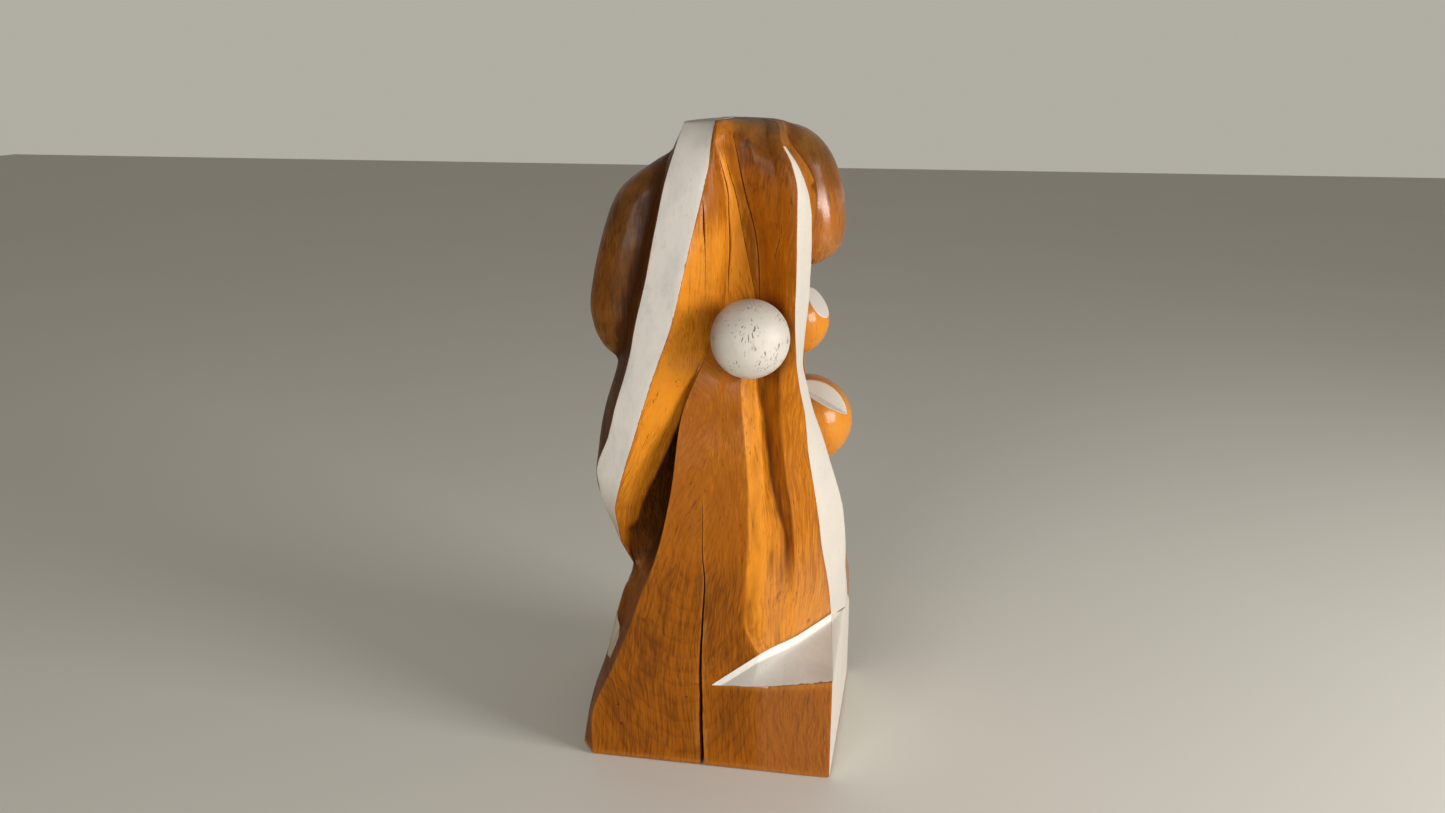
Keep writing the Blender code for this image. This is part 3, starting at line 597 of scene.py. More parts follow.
def soften_seam(mesh, searches, reach, times=14):
    """Rounds the valley where two joined forms meet; reach gives its half width at each point."""
    points = points_of(mesh)
    near = [np.array([search.find_nearest(Vector(p))[3] for p in points]) for search in searches]
    weight = np.clip(1 - np.maximum(*near) / reach(points), 0, 1)[:, None] * 0.7
    for _ in range(times):
        points += (neighbour_mean(mesh, points) - points) * weight
    move_points(mesh, points)


def wedge(path, outs, widths, depths):
    """A thin closed wedge along a path: wide side clear of the wood, sharp side deep inside it."""
    lift, half_tip = 2.5, 0.04
    rings = []
    for i, (spot, out, width, depth) in enumerate(zip(path, outs, widths, depths)):
        ahead = (path[min(i + 1, len(path) - 1)] - path[max(i - 1, 0)]).normalized()
        side = ahead.cross(out).normalized()
        half = 0.5 * width * (1 + lift / depth)
        top, tip = spot + out * lift, spot - out * depth
        rings.append([tuple(top - side * half), tuple(top + side * half),
                      tuple(tip + side * half_tip), tuple(tip - side * half_tip)])
    return ring_mesh("wedge", rings)


def check_wedge():
    height, x, width, depth = np.array(CHECK, float).T
    z = np.linspace(height[0], height[-1], 60)
    left = smooth_curve(RAIL_POINTS["column_left"], z)
    right = smooth_curve(BELOW_SHELF["shelf_tip"] + RAIL_POINTS["shelf_tip"][1:], z)
    centre = np.interp(z, height, x) + 0.12 * np.sin(z * 0.21) + 0.05 * np.sin(z * 0.83 + 1)
    share = (centre - left[:, 0]) / (right[:, 0] - left[:, 0])
    front = left[:, 1] + (right[:, 1] - left[:, 1]) * share
    path = [Vector(p) for p in np.column_stack([centre, front, z])]
    return wedge(path, [Vector((0, -1, 0))] * len(path), np.interp(z, height, width),
                 np.interp(z, height, depth))


def split_wedge(rail, line, depth):
    steps = np.linspace(0, 1, 22)
    known = np.linspace(0, 1, len(line))
    height, share, width = (np.interp(steps, known, column) for column in np.array(line, float).T)
    spots, outs, _ = zip(*[surface_spot(rail, h, s) for h, s in zip(height, share)])
    return wedge(spots, outs, width, [depth] * len(steps))


def chisel_cut(rail, height, share, length, width, depth, lean):
    """A shallow boat-shaped body that scoops one chisel cut out of the surface."""
    spot, out, up = surface_spot(rail, height, share)
    ahead = Matrix.Rotation(math.radians(lean), 3, out) @ up
    side = ahead.cross(out)
    rings = []
    for t in np.linspace(-0.96, 0.96, 13):
        size = math.sqrt(1 - t * t)
        centre = spot + ahead * (t * length / 2)
        ring = []
        for k in range(12):
            a = 2 * math.pi * k / 12
            ring.append(tuple(centre + side * (0.5 * width * size * math.cos(a))
                              + out * (depth * size * math.sin(a))))
        rings.append(ring)
    return ring_mesh("cut", rings, tuple(spot - ahead * (length / 2)),
                     tuple(spot + ahead * (length / 2)))


def ball_seat(ball):
    """The hollow for a ball and its dowel, as one turned body."""
    big, hole = ball.radius + SEAT_GAP, DOWEL_RADIUS + SEAT_GAP
    arc = np.linspace(math.pi, math.asin(hole / big), 40)
    profile = [(big * math.cos(a), big * math.sin(a)) for a in arc]
    profile += [(ball.hole_end, hole), (ball.hole_end + 0.2, 0.0)]
    return turned("seat", profile, ball.centre, ball.to_dowel, 96)


def surface_marks(mesh):
    """Stores how hollow or how exposed each point of a mesh is, for the materials."""
    points, out = points_of(mesh), normals_of(mesh)
    bend = ((neighbour_mean(mesh, points) - points) * out).sum(axis=1)[:, None]
    bend = np.clip(bend, -0.5, 0.5)
    for _ in range(3):
        bend = 0.5 * bend + 0.5 * neighbour_mean(mesh, bend)
    store(mesh, "hollow", np.clip(bend[:, 0] / 0.05, 0, 1))
    store(mesh, "worn", np.clip(-bend[:, 0] / 0.07, 0, 1))


def wood_tone_and_shade(points):
    """How dark the wood is painted at each point, from the carved face it lies on: 0 honey, 1 dark
    brown; partly its own tone, partly painted shade.
    """
    spots = SKIN[::2, ::2].reshape(-1, 3)
    columns = np.repeat(np.arange(0, len(SKIN), 2), len(range(0, SKIN.shape[1], 2)))
    tones = np.zeros(len(spots))
    for i, name in enumerate(RAIL_NAMES):
        last = FIRST_COLUMN[RAIL_NAMES[i + 1]] if i + 1 < len(RAIL_NAMES) else len(SKIN)
        mine = (columns >= FIRST_COLUMN[name]) & (columns < last)
        height, tone = np.array(WOOD_TONE_AND_SHADE[name], float).T
        tones[mine] = np.interp(spots[mine, 2], height, tone)
    tree = KDTree(len(spots))
    for i, spot in enumerate(spots):
        tree.insert(spot, i)
    tree.balance()
    found = [tree.find(p) for p in points]
    nearest = np.array([f[1] for f in found])
    away = np.array([f[2] for f in found])
    on_lobe = smoothstep(1.2, 4.0, away)
    left = np.interp(points[:, 2], *np.array(LEFT_LOBE_TONE_AND_SHADE, float).T)
    crown = np.interp(points[:, 2], *np.array(CROWN_LOBE_TONE_AND_SHADE, float).T)
    lobe_tone = np.where(points[:, 0] < -5, left, crown)
    return tones[nearest] * (1 - on_lobe) + lobe_tone * on_lobe


def store(mesh, name, values):
    held = mesh.attributes.new(name, "FLOAT", "POINT")
    held.data.foreach_set("value", np.asarray(values, np.float32))


def carved_trunk():
    rings = np.swapaxes(SKIN, 0, 1)
    trunk = ring_mesh("trunk_wood", rings, high_point=CAP_CENTRE)
    left = lobe("left_lobe", LEFT_LOBE, 64, 110)
    crown = lobe("crown_lobe", CROWN_LOBE, 46, 110)
    searches = [surface_search(piece) for piece in (trunk, left, crown)]
    combine(trunk, join("lobes", [left, crown]), "UNION")

    def left_reach(p):
        return 1.6 + 5.0 * smoothstep(255, 285, p[:, 2])

    def crown_reach(p):
        return 1.6 + 8.0 * smoothstep(284, 298, p[:, 2])

    soften_seam(trunk.data, [searches[0], searches[1]], left_reach)
    soften_seam(trunk.data, [searches[0], searches[2]], crown_reach)
    points = points_of(trunk.data)
    standing = smoothstep(0, 4, points[:, 2])
    move_points(trunk.data, points + normals_of(trunk.data)
                * (tool_marks(points) * standing)[:, None])
    seats = [ball_seat(ball) for ball in (FRONT_BALL, KNOB, SIDE_BALL)]
    combine(trunk, join("cutters", [*seats, check_wedge()]), "DIFFERENCE")
    marks = [split_wedge(*split) for split in SPLITS] + [chisel_cut(*cut) for cut in CHISEL_CUTS]
    for mark in marks:
        combine(trunk, mark, "DIFFERENCE")
    surface_marks(trunk.data)
    tone = wood_tone_and_shade(points_of(trunk.data))[:, None]
    for _ in range(5):
        tone = 0.5 * tone + 0.5 * neighbour_mean(trunk.data, tone)
    store(trunk.data, "tone", tone[:, 0])
    trunk.data.set_sharp_from_angle(angle=SHARP_ANGLE)
    return trunk


# ---- paint -------------------------------------------------------------------------------------
def shell_faces(rows, width):
    """Faces of a closed shell: a grid of points, the same grid under it and the rim between."""
    under = rows * width
    faces = []
    for r in range(rows - 1):
        for i in range(width - 1):
            a, b = r * width + i, r * width + i + 1
            faces.append((a, b, b + width, a + width))
            faces.append((under + a + width, under + b + width, under + b, under + a))
    rim = [r * width for r in range(rows)][::-1]
    rim += list(range(1, width))
    rim += [r * width + width - 1 for r in range(1, rows)]
    rim += [(rows - 1) * width + i for i in range(width - 2, 0, -1)]
    faces += [(a, under + a, under + b, b) for a, b in zip(rim, rim[1:] + rim[:1])]
    return faces


def paint_shell(name, columns, rings):
    """A thin closed layer over part of the skin: columns and rings are arrays [row, across]."""
    spots = skin_at(columns, rings)
    ahead = np.gradient(spots, axis=0)
    across = np.gradient(spots, axis=1)
    out = np.cross(across, ahead)
    out /= np.maximum(np.linalg.norm(out, axis=2), 1e-9)[:, :, None]
    rows, width = spots.shape[:2]
    marks = tool_marks(spots.reshape(-1, 3)).reshape(rows, width)
    spots = spots + out * (marks * smoothstep(0, 4, spots[:, :, 2]))[:, :, None]
    margin = np.ones((rows, width), bool)
    margin[1:-1, 1:-1] = False
    outer = spots + out * np.where(margin, PAINT_EDGE_OUT, PAINT_OUT)[:, :, None]
    inner = spots - out * PAINT_IN
    points = np.concatenate([outer.reshape(-1, 3), inner.reshape(-1, 3)])
    piece = new_piece(name, points, shell_faces(rows, width))
    gap = np.linalg.norm(np.gradient(spots, axis=1), axis=2)
    from_edge = np.minimum(np.cumsum(gap, axis=1), np.cumsum(gap[:, ::-1], axis=1)[:, ::-1])
    from_edge[margin] = 0
    store(piece.data, "from_edge", np.concatenate([from_edge.ravel(), np.zeros(rows * width)]))
    piece.data.set_sharp_from_angle(angle=SHARP_ANGLE)
    return piece


def ragged(rows, seed, size):
    """A wavering margin for the rows of a painted edge."""
    line = np.zeros((rows, 3))
    line[:, 0] = np.arange(rows)
    slow, quick = wave(line, (9, 9, 9), seed), wave(line, (2.6, 2.6, 2.6), seed + 5)
    return size * (0.6 + 0.6 * slow + 0.4 * quick)


def band_between(name, rail, low, high, across, seed, margins=(0.35, 0.35), wrap=0.0):
    """Paint over the patch that starts at a rail; wrap takes its foot round the next edge."""
    start, end = column_at(rail, 0), column_at(rail, 1)
    if end < start:
        end += len(SKIN)
    first, last = ring_at(start, low), ring_at(start, high)
    rings = np.linspace(first, last, int((last - first) * 1.3) + 2)
    left, right = skin_at(np.full(len(rings), start), rings), skin_at(np.full(len(rings), end), rings)
    width = np.maximum(np.linalg.norm(right - left, axis=1), 0.5)
    a = np.clip(ragged(len(rings), seed, margins[0]) / width, 0.0, 0.4)
    b = np.clip(ragged(len(rings), seed + 1, margins[1]) / width, 0.0, 0.4)
    b -= wrap * smoothstep(ring_at(start, 128), ring_at(start, 104), rings)
    share = a[:, None] + (1 - a - b)[:, None] * np.linspace(0, 1, across)[None, :]
    return paint_shell(name, start + share * (end - start), rings[:, None] * np.ones((1, across)))


def ledge_paint():
    """Paint on the sloping corner shelf, from its front edge up to the carved scoop."""
    start, end = column_at("shelf_tip", 0.02), column_at("strip_left", 0.01)
    columns = np.linspace(start, end, 110)
    rings = np.linspace(BASE_RINGS - 1.0, BASE_RINGS + SHELF_RINGS - 1.0, 30)
    grid_columns = columns[None, :] * np.ones((len(rings), 1))
    lower = ragged(len(columns), 30, 0.25)[None, :] * np.linspace(1, 0, len(rings))[:, None]
    piece = paint_shell("ledge_paint", grid_columns, rings[:, None] + lower)
    points = points_of(piece.data).reshape(2, len(rings), len(columns), 3)
    steps = np.linalg.norm(np.diff(points, axis=1), axis=3)[:, ::-1]
    from_top = np.concatenate([np.zeros((2, 1, len(columns))), np.cumsum(steps, axis=1)], axis=1)
    store(piece.data, "cove", smoothstep(4.6, 3.4, from_top[:, ::-1]).ravel())
    return piece


def right_side_paint():
    """Paint on the right side of the base, back from its front corner."""
    start, end = column_at("strip_left", 0.012), column_at("right_hollow", 0.92)
    columns = np.linspace(start, end, 70)
    rings = np.linspace(1.2, BASE_RINGS + SHELF_RINGS - 2.0, 60)
    back = np.linspace(0, 1, len(columns))[None, :] ** 2
    top = rings[-1] - back * 14
    grid = rings[0] + (top - rings[0]) * ((rings - rings[0]) / (rings[-1] - rings[0]))[:, None]
    return paint_shell("right_side_paint", columns[None, :] * np.ones((len(rings), 1)), grid)


def left_mark_paint():
    """A painted leaf on the left side of the base, with its tip on the front's left corner."""
    start, end = column_at("recess", 0.32), column_at("back_left", 0.12)
    columns = np.linspace(end, start + len(SKIN) * (start < end), 80)
    grow = np.linspace(1, 0, len(columns)) ** 0.7
    low = np.array([ring_at(column, 49 - 6 * g) for column, g in zip(columns, grow)])
    high = np.array([ring_at(column, 60 + 26 * g) for column, g in zip(columns, grow)])
    share = np.linspace(0, 1, 16)[:, None]
    return paint_shell("left_mark_paint", columns[None, :] * np.ones((16, 1)),
                       low[None, :] + (high - low)[None, :] * share)


# ---- balls -------------------------------------------------------------------------------------
def flat_cutter(ball, normal, distance):
    """A block past a plane that lies at a distance from a ball's centre."""
    turn = normal.to_track_quat("Z", "Y").to_matrix()
    origin = ball.centre + normal * distance
    half = 30.0
    corners = [(-half, -half), (half, -half), (half, half), (-half, half)]
    rings = [[tuple(origin + turn @ Vector((x, y, z))) for x, y in corners] for z in (0, 2 * half)]
    return ring_mesh("flat_cutter", rings)


def carved_ball(name, ball, cutter=None, bevel=0.0):
    """A hand-turned ball, a little uneven, with its flat cuts and the hole for its dowel."""
    poles = np.linspace(math.pi, 0, 49)
    sphere = [(ball.radius * math.cos(a), ball.radius * math.sin(a)) for a in poles]
    piece = turned(name, sphere, ball.centre, ball.to_dowel, 96)
    points = points_of(piece.data)
    bumps = wave(points, (9, 9, 9), 7) + 0.4 * wave(points, (3.5, 3.5, 3.5), 8)
    move_points(piece.data, points + normals_of(piece.data) * (ball.uneven * bumps)[:, None])
    if cutter:
        combine(piece, cutter, "DIFFERENCE")
        bevel_cut_edges(piece, bevel)
    wide, end = DOWEL_RADIUS + SEAT_GAP, ball.radius + 2
    hole = [(-3.4, 0), (-3.3, wide), (end, wide), (end + 0.1, 0)]
    combine(piece, turned("hole", hole, ball.centre, ball.to_dowel, 32), "DIFFERENCE")
    piece.data.set_sharp_from_angle(angle=SHARP_ANGLE)
    return piece


def knob_cap_paint():
    """Paint on the knob's flat cap, slightly domed, with a rolled edge."""
    normal, distance = KNOB_CAP
    reach = math.sqrt(KNOB.radius ** 2 - distance ** 2) - 0.25
    profile = [(-PAINT_IN, 0), (-PAINT_IN, reach * 0.5), (-PAINT_IN, reach - 0.5),
               (-0.1, reach), (0.16, reach - 0.15)]
    profile += [(0.25 + 0.5 * (1 - t * t), reach * t * 0.96) for t in np.linspace(1, 0, 14)]
    centre = KNOB.centre + normal * distance
    piece = turned("knob_cap_paint", profile, centre, normal, 72)
    away = np.linalg.norm(points_of(piece.data) - np.array(centre), axis=1)
    store(piece.data, "from_edge", np.maximum(reach - away, 0))
    return piece


def notch_paint(name, normal, distance, other_normal, other_distance):
    """Paint on one face of the notch: the part of that plane inside the ball and past the other."""
    centre = SIDE_BALL.centre + normal * distance
    margin_out, paint_out, clear_of_rim = 0.12, 0.26, 0.35
    reach = math.sqrt(SIDE_BALL.radius ** 2 - distance ** 2) - clear_of_rim
    across = other_normal.cross(normal).normalized()
    into = normal.cross(across).normalized()
    if into.dot(other_normal) < 0:
        into = -into
    start = (other_distance - other_normal.dot(normal) * distance) / into.dot(other_normal)
    half = math.sqrt(reach ** 2 - start ** 2)
    rows, width = 12, 40
    outer, inner, edge = [], [], []
    for r in range(rows):
        for i in range(width):
            s = -half * math.cos(math.pi * i / (width - 1)) * 0.995
            top = math.sqrt(max(reach ** 2 - s ** 2, 0))
            t = start + (top - start) * r / (rows - 1)
            rim = r == rows - 1 or i in (0, width - 1)
            spot = centre + across * s + into * t
            outer.append(tuple(spot + normal * (margin_out if rim else paint_out)))
            inner.append(tuple(spot - normal * PAINT_IN))
            edge.append(0.0 if rim else min(top - t, reach - abs(s)))
    faces = shell_faces(rows, width)
    if across.cross(into).dot(normal) < 0:
        faces = [face[::-1] for face in faces]
    piece = new_piece(name, outer + inner, faces)
    store(piece.data, "from_edge", edge + [0.0] * len(inner))
    return piece


# ---- materials ---------------------------------------------------------------------------------
class Nodes:
    """A material being built: add() makes a node, sets its inputs and returns it."""

    def __init__(self, name):
        self.material = bpy.data.materials.new(name)
        self.material.use_nodes = True
        self.tree = self.material.node_tree
        self.tree.nodes.clear()

    def add(self, kind, inputs=None, **settings):
        node = self.tree.nodes.new(kind)
        for key, value in settings.items():
            setattr(node, key, value)
        for key, value in (inputs or {}).items():
            if isinstance(value, bpy.types.NodeSocket):
                self.tree.links.new(value, node.inputs[key])
            else:
                node.inputs[key].default_value = value
        return node

    def place(self):
        """Position in the row frame, in millimetres."""
        spot = self.add("ShaderNodeTexCoord").outputs["Object"]
        return self.scaled(spot, (1 / MM, 1 / MM, 1 / MM))

    def scaled(self, vector, by):
        node = self.add("ShaderNodeVectorMath", {0: vector, 1: by}, operation="MULTIPLY")
        return node.outputs[0]

    def noise(self, vector, wavelength, detail=2.0, roughness=0.5):
        by = tuple(1 / w for w in wavelength)
        node = self.add("ShaderNodeTexNoise", {"Vector": self.scaled(vector, by), "Scale": 1.0,
                                               "Detail": detail, "Roughness": roughness})
        return node.outputs["Fac"]

    def ramp(self, value, low, high, to_low=0.0, to_high=1.0):
        node = self.add("ShaderNodeMapRange", {"Value": value, "From Min": low, "From Max": high,
                                               "To Min": to_low, "To Max": to_high},
                        interpolation_type="SMOOTHSTEP")
        return node.outputs["Result"]

    def math(self, operation, a, b=0.0, c=0.0):
        return self.add("ShaderNodeMath", {0: a, 1: b, 2: c}, operation=operation).outputs[0]

    def times(self, a, b):
        return self.math("MULTIPLY", a, b)

    def sum(self, *parts):
        total = parts[0]
        for part in parts[1:]:
            total = self.math("ADD", total, part)
        return total

    def axes(self, vector):
        return tuple(self.add("ShaderNodeSeparateXYZ", {0: vector}).outputs)

    def facing_up(self):
        return self.axes(self.add("ShaderNodeNewGeometry").outputs["Normal"])[2]

    def distance(self, place, point):
        node = self.add("ShaderNodeVectorMath", {0: place, 1: tuple(point)}, operation="DISTANCE")
        return node.outputs["Value"]

    def mix(self, share, a, b):
        a, b = ((*colour, 1.0) if isinstance(colour, tuple) else colour for colour in (a, b))
        return self.add("ShaderNodeMix", {0: share, 6: a, 7: b}, data_type="RGBA").outputs[2]

    def stain(self, colour, towards, mask, strength):
        """The colour moved towards another where the mask is high."""
        return self.mix(self.times(mask, strength), colour, towards)

    def attribute(self, name):
        return self.add("ShaderNodeAttribute", attribute_name=name).outputs["Fac"]

    def finish(self, colour, roughness, height, depth_mm, linked=None, **constants):
        bump = self.add("ShaderNodeBump", {"Height": height, "Distance": depth_mm * MM,
                                           "Strength": 1.0})
        shader = self.add("ShaderNodeBsdfPrincipled",
                          {"Base Color": colour, "Roughness": roughness,
                           "Normal": bump.outputs["Normal"], **(linked or {})})
        for key, value in constants.items():
            shader.inputs[key.replace("_", " ")].default_value = value
        self.add("ShaderNodeOutputMaterial", {"Surface": shader.outputs[0]})
        return self.material


# Colours are linear.
HONEY = (0.70, 0.245, 0.016)
AMBER = (0.37, 0.105, 0.004)
UMBER = (0.165, 0.046, 0.004)
DARK_BROWN = (0.045, 0.014, 0.003)
FIBRE_RED = (0.14, 0.025, 0.003)
UP_FACING_SHADE = (0.12, 0.055, 0.025)
EDGE_WEAR_AND_HIGHLIGHT = (0.72, 0.30, 0.04)
CHALK = (0.87, 0.815, 0.735)
GREY_PAINT = (0.60, 0.57, 0.51)
LEDGE_SHADE_GREY = (0.43, 0.385, 0.33)
CLEAN_PAINT = (0.67, 0.60, 0.51)
SPECK = (0.20, 0.14, 0.09)
BAND_FOOT_SHADE = (0.33, 0.25, 0.17)
BALL_PAINT = (0.66, 0.605, 0.53)
BALL_CLOUD = (0.60, 0.53, 0.45)
BALL_MOTTLE = (0.50, 0.42, 0.33)
BALL_STREAK = (0.55, 0.49, 0.41)
BALL_MARK = (0.12, 0.08, 0.045)
BALL_TOP_SHADE = (0.30, 0.235, 0.18)
BALL_SHADE = (0.22, 0.15, 0.10)
GREEN_GREY = (0.50, 0.50, 0.41)
UP_FACING_PAINT_SHADE = (0.33, 0.30, 0.26)

# Knots and small bark marks: (x, y, z, radius, how dark).
KNOTS = [(12, -25, 290, 2.6, 0.9), (-31.5, -49.7, 74.4, 2.2, 0.6), (42.6, -19, 65, 2.4, 0.7),
         (19.5, -46.3, 62.6, 0.9, 1.0), (41, -18, 272, 3.2, 0.8), (-44.5, -51, 28.8, 0.9, 0.8),
         (-43.3, -51, 18.5, 1.2, 0.8), (-11, -51, 36.3, 1.0, 0.7), (-7.9, -49, 65, 0.8, 0.4)]


def add_knots(nodes, place, colour):
    """Dark rings and specks where a twig or bark shows."""
    height = 0.0
    for x, y, z, radius, dark in KNOTS:
        rough = nodes.noise(place, (radius * 0.9,) * 3)
        away = nodes.sum(nodes.distance(place, (x, y, z)), nodes.times(rough, radius * 1.2))
        mask = nodes.ramp(away, radius * 0.55, radius * 1.7, dark, 0.0)
        colour = nodes.mix(mask, colour, DARK_BROWN)
        height = nodes.sum(height, mask)
    return colour, height


def varnished_wood(name, with_knots=True, tint=0.0, base_coat=0.04):
    """Honey-coloured satin varnish over close, upright grain."""
    nodes = Nodes(name)
    place = nodes.place()
    x, y, z = nodes.axes(place)

    # Grain lines: upright, leaning on the column above the base.
    on_column = nodes.times(nodes.ramp(x, 14, -2), nodes.ramp(y, -34, -40))
    lean = nodes.times(nodes.ramp(z, 70, 190, 0.0, 34.0), on_column)
    waver = nodes.times(nodes.math("SUBTRACT", nodes.noise(place, (46, 46, 70)), 0.5), 22)
    grain_x = nodes.sum(nodes.math("SUBTRACT", x, lean), waver)
    grain = nodes.add("ShaderNodeCombineXYZ", {0: grain_x, 1: y, 2: z}).outputs[0]

    # Growth rings round a leaning pith, which a flat cut shows as nested arches.
    dx = nodes.sum(grain_x, 14.0)
    dy = nodes.math("SUBTRACT", y, nodes.math("MULTIPLY_ADD", z, -0.42, 6.5))
    reach = nodes.math("SQRT", nodes.sum(nodes.times(dx, dx), nodes.times(dy, dy)))
    reach = nodes.sum(reach, nodes.times(nodes.noise(place, (20, 20, 60), 3), 6))
    ring = nodes.ramp(nodes.math("FRACT", nodes.math("DIVIDE", reach, 3.6)), 0.55, 1.0)

    fibre = nodes.noise(grain, (1.0, 1.0, 19), detail=5.0, roughness=0.6)
    fine = nodes.noise(grain, (0.40, 0.40, 5), detail=2.0)
    dash = nodes.ramp(nodes.noise(grain, (0.8, 0.8, 8), detail=1.0), 0.71, 0.76)
    vein = nodes.ramp(nodes.noise(grain, (1.5, 1.5, 34), detail=2.0), 0.66, 0.76)
    cloud = nodes.noise(place, (34, 34, 60), detail=3.0)
    patchy = nodes.noise(place, (9, 9, 22), detail=3.0)

    tone = nodes.sum(nodes.attribute("tone"), tint,
                     nodes.ramp(cloud, 0.30, 0.70, -0.06, 0.06),
                     nodes.ramp(patchy, 0.35, 0.70, -0.03, 0.05),
                     nodes.ramp(fibre, 0.36, 0.68, -0.10, 0.14),
                     nodes.ramp(fine, 0.40, 0.72, -0.04, 0.07),
                     nodes.times(ring, 0.07))
    colour = nodes.mix(nodes.ramp(tone, 0.0, 0.55), HONEY, AMBER)
    colour = nodes.mix(nodes.ramp(tone, 0.55, 1.0), colour, UMBER)
    colour = nodes.mix(nodes.ramp(tone, 1.0, 1.5), colour, DARK_BROWN)
    colour = nodes.stain(colour, FIBRE_RED, nodes.math("MAXIMUM", dash, vein), 0.65)
    # Painted shade: wood that faces up is darkened, as little light comes from above.
    colour = nodes.stain(colour, UP_FACING_SHADE, nodes.ramp(nodes.facing_up(), 0.15, 0.95), 0.60)
    hollow, worn = nodes.attribute("hollow"), nodes.attribute("worn")
    # Painted shade: hollows and creases are darkened towards dark brown.
    colour = nodes.stain(colour, DARK_BROWN, hollow, 0.75)
    # Convex edges are lightened: partly wear, partly a painted highlight along the edges.
    colour = nodes.stain(colour, EDGE_WEAR_AND_HIGHLIGHT, worn, 0.20)
    # Painted shadow: the wood round the front ball is darkened, most on its left, where the ball
    # casts its shadow.
    ball_shadow = nodes.ramp(nodes.distance(place, FRONT_BALL.centre), 26, 18, 0.0, 0.75)
    colour = nodes.stain(colour, DARK_BROWN, ball_shadow, nodes.ramp(x, 30, 10, 0.3, 1.0))
    knot_height = 0.0
    if with_knots:
        colour, knot_height = add_knots(nodes, place, colour)

    # Handling has polished the side of the crown, the scoop over the shelf, the edges and balls.
    crown = nodes.times(nodes.ramp(x, 36, 46), nodes.ramp(z, 228, 244))
    crown = nodes.times(crown, nodes.ramp(z, 276, 262))
    scoop = nodes.times(nodes.ramp(x, 20, 27), nodes.ramp(z, 120, 84))
    polish = nodes.math("MAXIMUM", nodes.math("MAXIMUM", crown, scoop), nodes.times(worn, 0.3))

    wrinkle = nodes.noise(grain, (2.2, 2.2, 3.6), detail=3.0, roughness=0.6)
    dent = nodes.noise(place, (4.2, 4.2, 7.0))
    hammered = nodes.times(nodes.noise(place, (2.4, 2.4, 3.4)), polish)
    height = nodes.sum(nodes.times(fibre, 0.40), nodes.times(fine, 0.15), nodes.times(wrinkle, 0.65),
                       nodes.times(dent, 1.3), nodes.times(hammered, 1.6), nodes.times(dash, -0.3),
                       nodes.times(knot_height, -0.5))
    roughness = nodes.sum(0.34, nodes.times(fibre, 0.14), nodes.times(hollow, 0.2))
    coat = nodes.math("MULTIPLY_ADD", polish, 0.80, base_coat)
    return nodes.finish(colour, roughness, height, 0.42, {"Coat Weight": coat}, Coat_Roughness=0.18,
                        Specular_IOR_Level=0.06)


def white_paint(name, chips=1.0, top_shade=1.0, ledge_shade=0.0, base=CHALK):
    """Chalky white paint, brushed on by hand, worn at its edges and painted darker where it faces up
    and near the top, as shade.
    """
    nodes = Nodes(name)
    place = nodes.place()
    x, _, z = nodes.axes(place)
    brush = nodes.noise(place, (1.3, 1.3, 22), detail=3.0, roughness=0.6)
    cloud = nodes.noise(place, (16, 16, 26), detail=4.0, roughness=0.6)
    mottle = nodes.noise(place, (5, 5, 8), detail=4.0, roughness=0.65)
    speck = nodes.noise(place, (0.8, 0.8, 1.1), detail=1.0)
    colour = nodes.stain(base, GREY_PAINT, nodes.ramp(cloud, 0.42, 0.66), 0.42)
    # Painted shade on the shelf: its flat is greyed, more towards the left, while the cove along its
    # inner edge keeps the plain paint colour as its lit edge.
    if ledge_shade:
        outside_cove = nodes.math("SUBTRACT", 1.0, nodes.attribute("cove"))
        colour = nodes.stain(colour, LEDGE_SHADE_GREY, outside_cove, nodes.ramp(x, 45, 8, ledge_shade, 1.0))
    colour = nodes.stain(colour, GREEN_GREY, nodes.ramp(mottle, 0.55, 0.72), 0.22)
    colour = nodes.stain(colour, GREY_PAINT, nodes.ramp(brush, 0.52, 0.70), 0.14)
    colour = nodes.stain(colour, SPECK, nodes.ramp(speck, 0.73, 0.78), 0.55)
    # Painted shade: paint that faces up, and paint near the figure's top, is darkened towards grey.
    top_shade_share = nodes.sum(nodes.times(nodes.ramp(nodes.facing_up(), 0.25, 0.95), 0.55 * top_shade),
                      nodes.times(nodes.ramp(z, 268, 300), 0.35 * top_shade))
    colour = nodes.mix(top_shade_share, colour, UP_FACING_PAINT_SHADE)
    # Painted shade: the lower end of the band is darkened towards brown.
    foot = nodes.times(nodes.ramp(z, 142, 110), nodes.ramp(x, -30, -36))
    colour = nodes.stain(colour, BAND_FOOT_SHADE, foot, 0.9)
    inwards = nodes.times(nodes.attribute("from_edge"), 0.32)
    chip = nodes.ramp(nodes.sum(inwards, nodes.noise(place, (1.6, 1.6, 3.2))), 0.40, 0.36, 0.0, chips)
    colour = nodes.mix(chip, colour, AMBER)
    height = nodes.sum(nodes.times(brush, 0.5), nodes.times(mottle, 0.5), nodes.times(speck, 0.12),
                       nodes.times(chip, -0.6))
    roughness = nodes.sum(0.50, nodes.times(mottle, 0.2))
    return nodes.finish(colour, roughness, height, 0.16, IOR=1.45)


